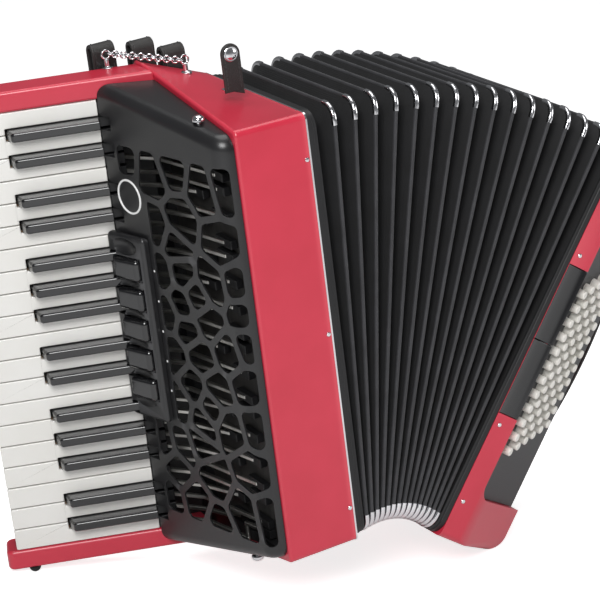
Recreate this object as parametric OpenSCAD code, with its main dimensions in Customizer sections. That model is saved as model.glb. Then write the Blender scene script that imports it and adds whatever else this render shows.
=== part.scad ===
// Piano accordion: 34 treble keys, five register switches, 15 bellows folds, 72 bass buttons.
// Case frame: x from the bellows edge of the treble case (negative towards the keys), y to the back, z up.

/* [Treble case] */
// Length of both cases, from end to end
case_len = 358; // [350:1:366]
// Depth of both cases, front to back
case_depth = 168; // [162:1:174]
// Width of the treble front face
front_w = 62; // [58:1:66]
// Thickness of the wooden case walls
wall = 7; // [6:0.5:8]
// How far the case rises towards the keyboard at its back corner
shoulder = 25; // [22:1:28]
// Where the rise reaches its full height, from the front
shoulder_y = 150; // [146:1:154]

/* [Keyboard] */
// Pitch of the white keys
key_pitch = 18.6; // [18.3:0.1:18.9]
// Gap between neighbouring keys
key_gap = 0.8; // [0.6:0.1:1]
// Visible length of a white key
white_len = 119; // [115:1:123]
// Thickness of a white key
white_h = 9; // [8:0.5:10]
// Visible length of a black key
black_len = 73; // [69:1:77]
// Width of a black key at its base
black_w = 9.6; // [9:0.2:10.4]
// Width of a black key along its top
black_top_w = 7.4; // [6.8:0.2:8]
// Height of a black key above the white keys
black_h = 10.5; // [9.5:0.5:11.5]
// Spacing of black keys within a group
black_pitch = 21.7; // [21.4:0.1:22]
// Backward tilt of the keyboard
key_tilt = 22.3; // [20:0.5:24]
// Radius of the key axle
axle_r = 2; // [1.8:0.1:2.4]
// Running clearance of each key on the axle
axle_gap = 0.05; // [0.03:0.01:0.08]
// Thickness of the keyboard body under the keys, from the key tops
bed_depth = 28; // [26:1:30]
// Thickness of the key bed board
bed_t = 8; // [7:0.5:9]
// Width of the cheek at each end of the keyboard
cheek_w = 17; // [15:1:19]
// How far the cheeks reach past the key fronts
cheek_over = 9; // [7:1:11]

/* [Grille cover] */
// Sheet thickness of the grille cover
cover_t = 1.6; // [1.4:0.1:2]
// Width of the ribs between the grille cells
rib_w = 5.6; // [4.8:0.2:6.4]
// Corner radius where the cover turns to the front
cover_r = 14; // [12:1:16]
// How far the cover reaches out past the case's front left edge
cover_out = 13; // [11:1:15]
// Diameter of the ring badge
badge_d = 29; // [26:1:32]

/* [Registers] */
// Spacing of the register switches
switch_pitch = 25.6; // [24.5:0.2:26.5]
// Length of a register switch along its housing's width
switch_l = 27; // [25:1:28]
// Width of a register switch
switch_w = 19; // [17:0.5:21]
// Height of the register housing above the cover
housing_h = 9; // [8:0.5:11]

/* [Bellows] */
// Angle between the two cases as the bellows stand fanned
fan = 37; // [34:1:38]
// Closed distance between the two cases
stack = 81.6; // [81.4:0.2:84]
// Thickness of each bellows frame
frame_t = 6; // [5.6:0.2:6.2]
// Thickness of a fold card with its cloth
fold_t = 3.4; // [3.2:0.1:3.5]
// Metal on each side of a fold's corner
corner_t = 0.3; // [0.2:0.1:0.4]
// Length of the corner metal along each side
corner_leg = 17; // [15:1:20]
// Corner radius of the folds
fold_r = 14; // [12:1:16]
// How far each fold card reaches in
fold_in = 24; // [20:1:28]

/* [Bass side] */
// Width of the bass case
bass_w = 96; // [92:1:100]
// Width of the red strip along the bass front
strip_w = 21; // [19:1:23]
// Depth of the button board below the strip at its inner edge
board_drop = 9; // [8:0.5:10]
// Depth of the button board's outer edge
board_back = 55; // [52:1:58]
// Length of the solid end of the bass case
bass_end = 41; // [38:1:44]
// Corner radius of the bass case ends
bass_r = 17; // [15:1:19]
// How far the ends stand out past the outer face
bass_lip = 4; // [3:0.5:5]
// Spacing of the buttons along a row
button_pitch = 12.9; // [12.5:0.1:13.2]
// Spacing between the rows
row_pitch = 10.8; // [10.4:0.1:11.2]
// Shift of each row against the one before
row_shift = 6.5; // [6:0.1:7]
// Radius of a button
button_r = 3.7; // [3.4:0.1:4]
// Height of a button above the board
button_h = 8.5; // [7.5:0.5:9.5]
// Width of the hand strap
strap_w = 60; // [54:2:66]
// Height of the hand strap over the bass case
strap_h = 32; // [28:1:36]
// Thickness of the leather of the straps
leather_t = 3; // [2.5:0.5:3.5]

/* [Hidden] */

$fn = 32;
fit = 0.2;                 // clearance between pieces that sit in each other
key_count = 20;            // white keys
octave = 7;                // white keys in an octave
keys_len = key_count * key_pitch;
keys_z0 = (case_len - keys_len) / 2;
gaps = 16;                 // spaces between the two bellows frames and the folds
pitch_closed = (stack - 2 * frame_t) / gaps;
pivot_x = stack * 0.55;    // the fan turns about this line at the bellows' lower edge

// Grille cover: a plane from the corner beside the front edge to the line where the keys begin.
cover_y0 = 3;
cover_corner = [-front_w - cover_out, cover_y0];
key_edge = cover_corner + [-30.6, 145];
cover_lift = 1.5;          // lip of the cover above the white keys
cover_inset = 5;           // drop of the cover's ends below the case's ends
cover_len = norm(key_edge - cover_corner);
cover_turn = atan2(key_edge[1] - cover_corner[1], key_edge[0] - cover_corner[0]);

// Key geometry, in the key frame: x to the key tips, y up out of the key tops, z along the keyboard.
axle_s = -10;
axle_h = -5;
tail_s = -16;
arm_w = 3;
arm_h = 3.4;
jog_at = [0.71, 0.6];         // where the arms of the outermost keys step towards the case's middle, by row
pallet_t = 6;
board_x = -front_w + wall;           // outer face of the soundboard
board_t = 5;
pallet_w = 7.4;
pallet_l = 26;
pallet_y = [46, 84];                 // pallet rows of the white and the black keys
arm_bend_y = 120;
bed_top = -bed_depth + bed_t;
felt_t = 6.5;

// Voronoi centres of the grille cells: distance from the front corner, height from the case's end.
cells = [[127, 322], [87, 313], [66, 321], [27, 308], [1, 314], [61, 281], [94, 268], [73, 256],
         [16, 269], [95, 232], [69, 236], [32, 233], [0, 237], [74, 207], [53, 217], [95, 196],
         [42, 200], [-2, 213], [72, 186], [23, 179], [-2, 187], [60, 167], [93, 162], [74, 139],
         [44, 141], [4, 152], [96, 118], [54, 125], [69, 107], [34, 111], [0, 118], [124, 76],
         [99, 80], [75, 88], [111, 59], [63, 62], [14, 79], [128, 28], [89, 33], [30, 39],
         [67, 20], [-1, 43]];
grille_lo = 16;
grille_hi = 331;
grille_in = 7;
grille_out = 131;
housing_g = [106, 150];              // the register housing covers this stretch of the cover
housing_z = [case_len / 2 - 79, case_len / 2 + 79];

// ---------- helpers ----------
function turn(p, a) = [p[0] * cos(a) + p[1] * sin(a), -p[0] * sin(a) + p[1] * cos(a)];
function unit(v) = v / norm(v);
function cross2(a, b) = a[0] * b[1] - a[1] * b[0];

// Outline with each corner replaced by an arc of its own radius.
function round_corner(a, b, c, r, n = 6) =
    r <= 0 ? [b] :
    let (u = unit(a - b), v = unit(c - b), half = acos(u * v) / 2, back = r / tan(half),
         mid = b + unit(u + v) * r / sin(half), p = b + u * back - mid, s = -sign(cross2(u, v)))
    [for (i = [0:n]) let (t = s * i / n * (180 - 2 * half))
        mid + [p[0] * cos(t) - p[1] * sin(t), p[0] * sin(t) + p[1] * cos(t)]];
function rounded(pts, radii) =
    let (n = len(pts))
    [for (i = [0:n - 1]) each round_corner(pts[(i + n - 1) % n], pts[i], pts[(i + 1) % n], radii[i])];

// Part of a convex outline on the near side of the line n * p = d.
function clip(pts, n, d) =
    let (m = len(pts))
    m < 3 ? [] :
    [for (i = [0:m - 1])
        let (a = pts[i], b = pts[(i + 1) % m], fa = n * a - d, fb = n * b - d)
        each concat(fa <= 0 ? [a] : [], fa * fb < 0 ? [a + (b - a) * fa / (fa - fb)] : [])];
// Voronoi cell of one centre, shrunk by half a rib.
function cell(i, j = 0, pts = []) =
    j == len(cells) ? pts :
    j == i ? cell(i, j + 1, pts) :
    let (v = unit(cells[j] - cells[i]), mid = (cells[i] + cells[j]) / 2)
    cell(i, j + 1, clip(pts, v, v * mid - rib_w / 2));

// Key frame to case frame, and back.
function from_key(s, h) = key_edge + [-cos(key_tilt) * s - sin(key_tilt) * h,
                                      sin(key_tilt) * s - cos(key_tilt) * h];
function to_key(x, y) = let (d = [x, y] - key_edge) [-cos(key_tilt) * d[0] + sin(key_tilt) * d[1],
                                                     -sin(key_tilt) * d[0] - cos(key_tilt) * d[1]];
// Point on the line at height h of the key frame, at x of the case frame.
function on_key_line(x, h) = from_key(-(x - key_edge[0] + sin(key_tilt) * h) / cos(key_tilt), h);

// ---------- standing pose ----------
// The accordion stands on two feet of the keyboard's lower cheek and the rounded end of the bass case.
foot_r = 5;
foot_y = [192, 208];
foot_x = from_key(white_len - 14, 0)[0];
foot_z = keys_z0 - cheek_w;
bass_low = turn([stack - pivot_x + bass_w + bass_lip - bass_r, bass_r], fan) + [pivot_x, 0];
reach = bass_low - [foot_x, foot_z];
lean = asin((bass_r - foot_r) / norm(reach)) - atan2(reach[1], reach[0]);
function world_x(p) = p[0] * cos(lean) - p[1] * sin(lean);
function world_z(p) = p[0] * sin(lean) + p[1] * cos(lean);
cheek_tip = white_len + cheek_over;
bass_high = turn([stack - pivot_x + bass_w + bass_lip - bass_r, case_len - bass_r], fan) + [pivot_x, 0];
pin_out = 1;
x_min = world_x([from_key(cheek_tip, 0)[0], case_len - foot_z]);
x_max = world_x(bass_high) + bass_r;
y_max = from_key(cheek_tip, -bed_depth)[1];
shift = [-(x_min + x_max) / 2, -(y_max - pin_out) / 2, foot_r - world_z([foot_x, foot_z])];

module stand() { translate(shift) rotate([0, -lean, 0]) children(); }
module in_key() { translate([key_edge[0], key_edge[1], 0]) rotate([0, 0, 180 - key_tilt]) children(); }
module in_fold(k) {
    translate([pivot_x, 0, 0]) rotate([0, fan * k / gaps, 0])
        translate([frame_t + k * pitch_closed - pivot_x, 0, 0]) children();
}
module in_bass() {
    translate([pivot_x, 0, 0]) rotate([0, fan, 0]) translate([stack - pivot_x, 0, 0]) children();
}
// Along the cover: x from its front corner to the keys, y out of the sheet, z along the case.
module on_cover() {
    translate([cover_corner[0], cover_corner[1], 0]) rotate([0, 0, cover_turn]) children();
}
// Extrusion along x of an outline drawn in y and z.
module along_x(len) { rotate([90, 0, 90]) linear_extrude(len) children(); }
// Extrusion along y of an outline drawn in x and z.
module along_y(len) { translate([0, len, 0]) rotate([90, 0, 0]) linear_extrude(len) children(); }
module ring(r, wire) { rotate_extrude() translate([r, 0]) circle(wire, $fn = 16); }

// ---------- treble case ----------
// Side view of the case, inset all round, at a share f of the shoulder's rise.
function side(f, inset) =
    let (rise = shoulder * f, top = case_len - inset, z0 = inset, y0 = inset, y1 = case_depth - inset)
    [[y0, z0], [shoulder_y, z0 - rise], [y1, z0 - rise], [y1, top + rise], [shoulder_y, top + rise],
        [y0, top]];
module side_hull(x0, x1, inset) {
    hull() {
        translate([x0, 0, 0]) along_x(0.01) polygon(side(min(1, -x0 / front_w), inset));
        translate([x1 - 0.01, 0, 0]) along_x(0.01) polygon(side(max(0, -x1 / front_w), inset));
    }
}
// Height of the case's sloping top.
function top_at(x, y) = case_len + shoulder * min(-x / front_w, y / shoulder_y);
window_y = [wall + 5, 136];
window_z = [wall + 0.5, case_len - wall - 0.5];

module treble_case() {
    color("crimson") stand() difference() {
        side_hull(-front_w, 0, 0);
        side_hull(-front_w + wall, 0.1, wall);
        translate([-front_w - 1, window_y[0], window_z[0]])
            cube([wall + 2, window_y[1] - window_y[0], window_z[1] - window_z[0]]);
    }
}
module bed_profile(h0, h1, s1) {
    polygon([from_key(s1, h1), from_key(s1, h0), on_key_line(-front_w, h0), on_key_line(-front_w, h1)]);
}
module cheek() {
    difference() {
        linear_extrude(cheek_w) polygon(rounded([from_key(cheek_tip, 1), from_key(cheek_tip, -bed_depth),
            on_key_line(-front_w, -bed_depth), on_key_line(-front_w, 1)], [6, 6, 0, 0]));
        in_key() translate([axle_s, axle_h, -1]) cylinder(r = axle_r + axle_gap, h = cheek_w + 2);
    }
}
module keyboard_frame() {
    color("crimson") stand() union() {
        translate([0, 0, keys_z0]) linear_extrude(keys_len) bed_profile(-bed_depth, bed_top, white_len);
        translate([0, 0, keys_z0 - cheek_w]) cheek();
        translate([0, 0, keys_z0 + keys_len]) cheek();
    }
}
module key_felt() {
    color("darkred") stand() in_key() translate([white_len - 30, bed_top, keys_z0 + 1])
        cube([18, felt_t, keys_len - 2]);
}
module key_axle() {
    color("silver") stand() in_key() translate([axle_s, axle_h, keys_z0 - cheek_w + 2])
        cylinder(r = axle_r, h = keys_len + 2 * cheek_w - 4);
}

// ---------- keys ----------
function has_black(n) = n > 0 && n < key_count && search(n % octave, [1, 2, 4, 5, 6]) != [];
function black_mid(n) = let (g = n % octave, centre = g < 3 ? 1.5 : 5)
    keys_z0 + key_pitch * (n - g + centre) + (g - centre) * black_pitch;

module bar(a, b, w) {
    translate(a) rotate([0, 0, atan2(b[1] - a[1], b[0] - a[0])])
        translate([0, -w / 2]) square([norm(b - a), w]);
}
// Bent arm from the key's tail to its pallet, and the pallet on the soundboard.
function pallet_z(z) = max(window_z[0] + pallet_w / 2 + 1.5, min(window_z[1] - pallet_w / 2 - 1.5, z));
module arm_and_pallet(row, z) {
    x = board_x - fit - pallet_t;
    hook = to_key(x + 1, pallet_y[row]);
    elbow = to_key(board_x - 18, arm_bend_y);
    jog = pallet_z(z) - z;
    turn_off = elbow + (hook - elbow) * jog_at[row];
    translate([0, 0, -arm_w / 2]) linear_extrude(arm_w) {
        bar([axle_s - axle_r - 1.5, axle_h], elbow, arm_h);
        translate(elbow) circle(arm_h / 2, $fn = 24);
        bar(elbow, turn_off, arm_h);
    }
    translate([0, 0, min(0, jog) - arm_w / 2]) linear_extrude(abs(jog) + arm_w)
        translate(turn_off) circle(arm_h / 2, $fn = 24);
    translate([0, 0, jog - arm_w / 2]) linear_extrude(arm_w) bar(turn_off, hook, arm_h);
    translate([0, 0, jog - pallet_w / 2]) linear_extrude(pallet_w)
        polygon([for (c = [[0, -1], [1, -1], [1, 1], [0, 1]])
            to_key(x + c[0] * pallet_t, pallet_y[row] + c[1] * pallet_l / 2)]);
}
module key_tail(w) {
    translate([0, 0, -w / 2]) linear_extrude(w) difference() {
        translate([tail_s, -white_h]) square([-tail_s, white_h]);
        translate([axle_s, axle_h]) circle(axle_r + axle_gap);
    }
}
function white_lo(i) = max(keys_z0 + i * key_pitch,
                           has_black(i) ? black_mid(i) + black_w / 2 : keys_z0) + key_gap / 2;
function white_hi(i) = min(keys_z0 + (i + 1) * key_pitch,
                           has_black(i + 1) ? black_mid(i + 1) - black_w / 2 : case_len * 2) - key_gap / 2;
module white_key(i) {
    z0 = keys_z0 + i * key_pitch + key_gap / 2;
    lo = white_lo(i);
    hi = white_hi(i);
    in_key() {
        translate([black_len + 1, -white_h, z0])
            cube([white_len - black_len - 1, white_h, key_pitch - key_gap]);
        translate([0, -white_h, lo]) cube([black_len + 1, white_h, hi - lo]);
        translate([0, 0, (lo + hi) / 2]) { key_tail(9); arm_and_pallet(0, (lo + hi) / 2); }
    }
}
module black_key(n) {
    in_key() translate([0, 0, black_mid(n)]) {
        difference() {
            along_x(black_len)
                polygon([[-white_h, -black_w / 2], [0, -black_w / 2], [black_h, -black_top_w / 2],
                         [black_h, black_top_w / 2], [0, black_w / 2], [-white_h, black_w / 2]]);
            translate([black_len, 0, -black_w]) rotate([0, 0, 20]) cube([8, black_h * 2, black_w * 2]);
        }
        key_tail(8);
        arm_and_pallet(1, black_mid(n));
    }
}
module white_keys(first) {
    color("ivory") stand() for (i = [first:octave:key_count - 1]) white_key(i);
}
module black_keys(first) {
    color([0.08, 0.08, 0.09]) stand() for (n = [first:octave:key_count - 1]) black_key(n);
}

// ---------- treble inside ----------
module pallet_hole(i_mid, row) {
    translate([board_x - 1, pallet_y[row] - 10, pallet_z(i_mid) - 2.5]) cube([board_t + 2, 20, 5]);
}
module treble_soundboard() {
    color("burlywood") stand() difference() {
        translate([board_x, wall + fit, wall + fit])
            cube([board_t, case_depth - 2 * (wall + fit), case_len - 2 * (wall + fit)]);
        for (i = [0:key_count - 1]) pallet_hole((white_lo(i) + white_hi(i)) / 2, 0);
        for (n = [1:key_count - 1]) if (has_black(n)) pallet_hole(black_mid(n), 1);
    }
}
block_y = [46, 84, 122];
block_t = 16;
block_end = 24;
module treble_reed_blocks() {
    color("tan") stand() for (y = block_y)
        translate([board_x + board_t, y - block_t / 2, block_end])
            cube([40, block_t, case_len - 2 * block_end]);
}
plate_n = 10;
module treble_reed_plates() {
    pitch = (case_len - 2 * block_end) / plate_n;
    color("silver") stand() for (y = block_y, side = [-1, 1], i = [0:plate_n - 1])
        translate([board_x + board_t + 4, y + side * (block_t / 2 + 0.5) - 0.5, block_end + i * pitch + 1])
            cube([33, 1, pitch - 2]);
}

// ---------- grille cover ----------
// Plan of the cover, inset by t from its outer face, closed along the case and the key line.
function cover_plan(t, h, x1) =
    let (n = [sin(cover_turn), -cos(cover_turn)],
         along = unit(key_edge - cover_corner),
         corner = cover_corner + t * n + t * (1 - n[1]) / along[1] * along,
         up = [-sin(key_tilt), -cos(key_tilt)],
         reach = ((key_edge - corner) * up + h) / (along * up))
    rounded([[x1, cover_y0 + t], corner, corner + along * reach, on_key_line(x1, h)], [0, cover_r - t, 0, 0]);
module cover_block(t, h, x1) {
    slope = shoulder / shoulder_y;
    drop = cover_inset + t;
    intersection() {
        translate([0, 0, -shoulder - 1]) linear_extrude(case_len + 2 * shoulder + 2)
            polygon(cover_plan(t, h, x1));
        translate([-front_w - 80, 0, 0]) along_x(120) polygon([[0, drop],
            [case_depth, drop - slope * case_depth], [case_depth, case_len - drop + slope * case_depth],
            [0, case_len - drop]]);
    }
}
// Room for the black keys where they come out under the cover.
notch_gap = 0.8;
module key_notches() {
    for (n = [1:key_count - 1]) if (has_black(n))
        in_key() translate([tail_s - 4, 0, black_mid(n) - black_w / 2 - notch_gap])
            cube([40, black_h + 1.5 * notch_gap, black_w + 2 * notch_gap]);
}
grille_box = [[grille_in, grille_lo], [grille_out, grille_lo], [grille_out, grille_hi], [grille_in,
    grille_hi]];
module grille_cells() {
    for (i = [0:len(cells) - 1]) {
        c = cell(i, 0, grille_box);
        if (len(c) > 2) polygon(c);
    }
}
module grille_cover() {
    color([0.16, 0.16, 0.17]) stand() difference() {
        cover_block(0, cover_lift, -front_w - fit);
        cover_block(cover_t, -20, -front_w + 1);
        key_notches();
        for (up = [true, false]) at_screw(up) cylinder(r = screw_r + fit / 2, h = 10, center = true);
        on_cover() rotate([90, 0, 0]) translate([0, 0, -cover_t * 3]) linear_extrude(cover_t * 6)
            difference() {
            grille_cells();
            translate([housing_g[0] - 4, housing_z[0] - 4])
                square([housing_g[1] - housing_g[0] + 8, housing_z[1] - housing_z[0] + 8]);
            translate([badge_g, badge_z]) circle(badge_d / 2 + 3);
        }
    }
}
badge_g = 122;
badge_z = 289;
module ring_badge() {
    color("white") stand() on_cover() translate([badge_g, -0.1, badge_z]) rotate([-90, 0, 0]) difference() {
        translate([0, 0, 0.1]) cylinder(r = badge_d / 2, h = 0.8, $fn = 48);
        translate([0, 0, -1]) cylinder(r = badge_d / 2 - 1.6, h = 3, $fn = 48);
    }
}

// ---------- register switches ----------
hinge_g = housing_g[0] + 10;
hinge_r = 1.5;
hinge_y = 5;
function switch_z(k) = case_len / 2 + (k - 3) * switch_pitch;
module switch_cut(k) {
    translate([housing_g[0] + 6, 2, switch_z(k) - switch_w / 2 - 0.5])
        cube([switch_l + 2, housing_h, switch_w + 1]);
}
module register_housing() {
    color([0.06, 0.06, 0.07]) stand() difference() {
        on_cover() housing_shape();
        key_notches();
        in_key() translate([-40, -40, 0]) cube([80, 40 + cover_lift, case_len]);
    }
}
module housing_shape() {
    depth = housing_g[1] - housing_g[0];
    union() {
        difference() {
            translate([housing_g[0], fit, 0]) translate([0, 0, housing_z[0]])
                linear_extrude(housing_z[1] - housing_z[0])
                    polygon(rounded([[0, 0], [depth, 0], [depth, housing_h], [0, housing_h - 3]], [0,
                        0, 5, 3]));
            for (k = [1:5]) switch_cut(k);
        }
        for (k = [1:5]) translate([hinge_g, hinge_y, switch_z(k) - switch_w / 2 - 1])
            cylinder(r = hinge_r, h = switch_w + 2);
    }
}
module switch(k) {
    color([0.1, 0.1, 0.11]) stand() difference() {
        on_cover() translate([hinge_g, hinge_y, switch_z(k) - switch_w / 2]) linear_extrude(switch_w)
            difference() {
            translate([-3, -1.2]) polygon(rounded([[0, -1], [switch_l - 1, 3], [switch_l - 1, 10], [0, 6]],
                                                  [1, 1, 4, 3]));
            circle(hinge_r + axle_gap);
        }
        // the pressed end stays clear of the black keys
        in_key() translate([-3, -20, 0]) cube([60, 20 + black_h + 2, case_len]);
    }
}

// ---------- bellows ----------
module fold_outline(out) {
    polygon(rounded([[-out, -out], [case_depth + out, -out], [case_depth + out, case_len + out],
                     [-out, case_len + out]], [for (i = [1:4]) fold_r + out]));
}
module fold_ring(t, out, width) {
    translate([-t / 2, 0, 0]) along_x(t) difference() {
        fold_outline(out);
        fold_outline(out - width);
    }
}
module corner_boxes() {
    for (y = [-1, case_depth - corner_leg], z = [-1, case_len - corner_leg])
        translate([-20, y, z]) cube([40, corner_leg + 1, corner_leg + 1]);
}
corner_depth = 5;
module fold(k) {
    color([0.12, 0.12, 0.13]) stand() in_fold(k) {
        difference() {
            fold_ring(fold_t, -corner_t * 2, fold_in);
            intersection() { fold_ring(fold_t + 2, 0.5, corner_depth + 0.5); corner_boxes(); }
        }
        intersection() { fold_ring(fold_t + 2 * corner_t, 0, corner_depth); corner_boxes(); }
    }
}
// End frame of the bellows, with the card that the first fold hinges on.
module bellows_frame_ring() {
    card_t = pitch_closed - fold_t / 2 - corner_t - 0.35;
    difference() {
        union() {
            along_x(frame_t - 1) fold_outline(-0.5);
            along_x(frame_t + card_t) fold_outline(-1.2);
        }
        translate([-1, 0, 0]) along_x(frame_t + card_t + 2) fold_outline(-fold_in);
    }
}
module treble_bellows_frame() {
    color([0.1, 0.1, 0.1]) stand() bellows_frame_ring();
}
module bass_bellows_frame() {
    color([0.1, 0.1, 0.1]) stand() in_bass() mirror([1, 0, 0]) bellows_frame_ring();
}

// ---------- treble fittings ----------
pin_r = 1.8;
treble_pin_z = [30, case_len / 2, 322];
module pin_pair(x, z) {
    translate([x, -pin_out, z]) rotate([-90, 0, 0]) cylinder(r = pin_r, h = pin_out);
    translate([x, case_depth, z]) rotate([-90, 0, 0]) cylinder(r = pin_r, h = pin_out);
}
screw_y = 40;
screw_r = 2;
module at_screw(up) {
    slope = shoulder / shoulder_y;
    z = up ? case_len - cover_inset + slope * screw_y : cover_inset - slope * screw_y;
    translate([-front_w - 9, screw_y, z]) rotate([up ? 0 : 180, 0, 0]) children();
}
module cover_screw(up) {
    at_screw(up) {
        translate([0, 0, -3]) cylinder(r = screw_r, h = 6);
        translate([0, 0, 1.5]) cylinder(r = 5, h = 5);
    }
}
module treble_fasteners() {
    color("silver") stand() {
        for (z = treble_pin_z) pin_pair(-4, z);
        cover_screw(true);
        cover_screw(false);
    }
}
module keyboard_feet() {
    color([0.1, 0.1, 0.1]) stand() for (y = foot_y) translate([foot_x, y, foot_z]) intersection() {
        sphere(foot_r, $fn = 48);
        translate([-foot_r, -foot_r, -foot_r - 1]) cube([2 * foot_r, 2 * foot_r, foot_r + 1]);
    }
}

// Shoulder strap brackets: eye 1 on the keyboard cheek, eye 2 on the case's top.
eye_1 = [-84, 166, case_len - foot_z];
eye_2 = [-28, 142, top_at(-28, 142)];
eye_h = 11;
eye_r = 3.4;
eye_wire = 0.85;
module eye_post(p, seat) {
    translate(p + [0, 0, -seat]) cylinder(r = 4.5, h = seat + 1);
    translate(p) cylinder(r = 2, h = eye_h - 3);
    translate(p + [0, 0, eye_h]) rotate([90, 0, 0]) ring(eye_r, eye_wire);
}
module strap_brackets() {
    color("silver") stand() difference() {
        union() { eye_post(eye_1, 0); eye_post(eye_2, 4); }
        side_hull(-front_w, 0, 0);
    }
}
// Chain between the eyes, each link turned a quarter against the one before.
link_r = 2.6;
link_wire = 0.7;
link_gap = 0.2;
// The end links hang a little out from the wires of the eyes that they go round.
link_out = eye_wire + 0.15;
hook_1 = eye_1 + [eye_r, 0, eye_h];
hook_2 = eye_2 + [-eye_r, 0, eye_h];
chain_a = hook_1 + link_out * unit(hook_2 - hook_1);
chain_b = hook_2 - link_out * unit(hook_2 - hook_1);
link_n = 2 * ceil(norm(chain_b - chain_a) / (4 * (link_r - link_wire) - 2 * link_gap));
module strap_chain() {
    run = chain_b - chain_a;
    color("silver") stand() for (i = [0:link_n]) translate(chain_a + run * i / link_n)
        rotate([0, -asin(run[2] / norm(run)), atan2(run[1], run[0])]) rotate([i % 2 * 90, 0, 0])
            ring(link_r, link_wire);
}
// Closed leather loops behind the case's top edge, the ends of the shoulder straps.
loop_x = [-82, -50, -24];
loop_h = 40;
loop_d = 13;
loop_w = 20;
function back_top(x) = x < -front_w ? case_len - foot_z : case_len + shoulder * -x / front_w;
module loop_shape(grow) {
    r = loop_d / 2 + grow;
    translate([0, -grow]) {
        translate([-r, r]) square([2 * r, loop_h + 2 * grow - 2 * r]);
        translate([0, r]) circle(r);
        translate([0, loop_h + 2 * grow - r]) circle(r);
    }
}
module strap_loops() {
    color([0.07, 0.07, 0.07]) stand() for (x = loop_x)
        translate([x - loop_w / 2, case_depth + fit + loop_d / 2 + (x < -front_w ? 4.8 : 0),
            back_top(x) - 22])
            along_x(loop_w) difference() { loop_shape(0); loop_shape(-leather_t); }
}

// Bellows straps, unsnapped: one on top of the case and one below it.
bstrap_x = -26;
bstrap_y = 62;
bstrap_w = 16;
bstrap_h = 38;
module bellows_strap_shape(h) {
    translate([-bstrap_w / 2, 4]) square([bstrap_w, h - 4 - bstrap_w / 2]);
    translate([0, h - bstrap_w / 2]) circle(bstrap_w / 2);
    translate([-bstrap_w / 2, 0]) square([bstrap_w, 5]);
}
module bellows_straps() {
    top = top_at(bstrap_x - bstrap_w / 2, bstrap_y + leather_t) + fit;
    color([0.07, 0.07, 0.07]) stand() {
        translate([bstrap_x, bstrap_y, top]) along_y(leather_t) bellows_strap_shape(bstrap_h);
        translate([bstrap_x, bstrap_y, case_len - top]) mirror([0, 0, 1]) along_y(leather_t)
            bellows_strap_shape(bstrap_h / 2);
    }
}
module strap_snaps() {
    top = top_at(bstrap_x - bstrap_w / 2, bstrap_y + leather_t) + fit;
    color("silver") stand() {
        translate([bstrap_x, bstrap_y - 1.5, top + bstrap_h - bstrap_w / 2]) rotate([-90, 0, 0])
            cylinder(r = 6, h = 1.5);
        translate([bstrap_x - bstrap_w / 2, bstrap_y + leather_t,
                   top_at(bstrap_x - bstrap_w / 2, bstrap_y + leather_t + 6) + fit]) cube([bstrap_w, 6, 1.5]);
        translate([bstrap_x, bstrap_y - 1.5, case_len - top - bstrap_h / 2 + bstrap_w / 2])
            rotate([-90, 0, 0])
            cylinder(r = 6, h = 1.5);
    }
}

// ---------- bass side ----------
board_in = [strip_w, board_drop];
board_out = [bass_w, board_back];
board_len = norm(board_out - board_in);
board_turn = atan2(board_out[1] - board_in[1], board_out[0] - board_in[0]);
panel_z = [112, 246];
panel_t = 7;
window_in = 12;
plate_t = 2.2;
recess_r = 12;
module on_board() { translate([board_in[0], board_in[1], 0]) rotate([0, 0, board_turn]) children(); }
// Front view of the whole case and of the recess between its ends.
module bass_front(inset) {
    polygon(rounded([[0, inset], [bass_w + bass_lip - inset, inset],
                     [bass_w + bass_lip - inset, case_len - inset], [0, case_len - inset]],
                    [0, bass_r - inset / 2, bass_r - inset / 2, 0]));
}
lobe_x = strip_w + board_drop * tan(board_turn / 2);
lobe_end = bass_w + bass_lip;
lobe_y = (lobe_end - lobe_x) * tan(board_turn);
module bass_plan_ends(inset) {
    polygon([[0, inset], [lobe_x, inset], [lobe_end - inset, lobe_y],
             [lobe_end - inset, case_depth - inset], [0, case_depth - inset]]);
}
module bass_block() {
    intersection() {
        linear_extrude(case_len) bass_plan_ends(0);
        along_y(case_depth) bass_front(0);
    }
}
module recess_front(in) {
    translate([0, -1, 0]) along_y(case_depth + 2) polygon(rounded([[strip_w + in, bass_end + in],
        [bass_w + 40, bass_end + in], [bass_w + 40, case_len - bass_end - in],
        [strip_w + in, case_len - bass_end - in]], [recess_r - in, 0, 0, recess_r - in]));
}
module recess() {
    intersection() {
        recess_front(0);
        union() {
            on_board() translate([-40, -60, 0]) cube([board_len + 100, 60, case_len]);
            translate([bass_w, -2, 0]) cube([60, case_depth + 4, case_len]);
        }
    }
}
module bass_case() {
    color("crimson") stand() in_bass() difference() {
        bass_block();
        recess();
        // hollow, open towards the bellows
        translate([-1, wall, wall * 2]) cube([strip_w + 1 - wall / 2, case_depth - 2 * wall,
            case_len - 4 * wall]);
        intersection() {
            translate([-1, wall, bass_end + 2])
                cube([bass_w - wall + 1, case_depth - 2 * wall, case_len - 2 * bass_end - 4]);
            on_board() translate([-60, wall, 0]) cube([board_len + 120, case_depth * 2, case_len]);
        }
        // window under the button board
        on_board() translate([row_0 - button_r - 1, -1, bass_end + window_in])
            cube([5 * row_pitch + 2 * (button_r + 1), wall + 2, case_len - 2 * (bass_end + window_in)]);
        translate([bass_w - wall - 2, air_y, air_z]) rotate([0, 90, 0])
            cylinder(r = air_stem_r + fit / 2, h = wall + 4);
        // seats of the two panels
        translate([-1, -1, panel_z[0]]) cube([strip_w + 3, panel_t + 1, panel_z[1] - panel_z[0]]);
    }
}
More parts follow.
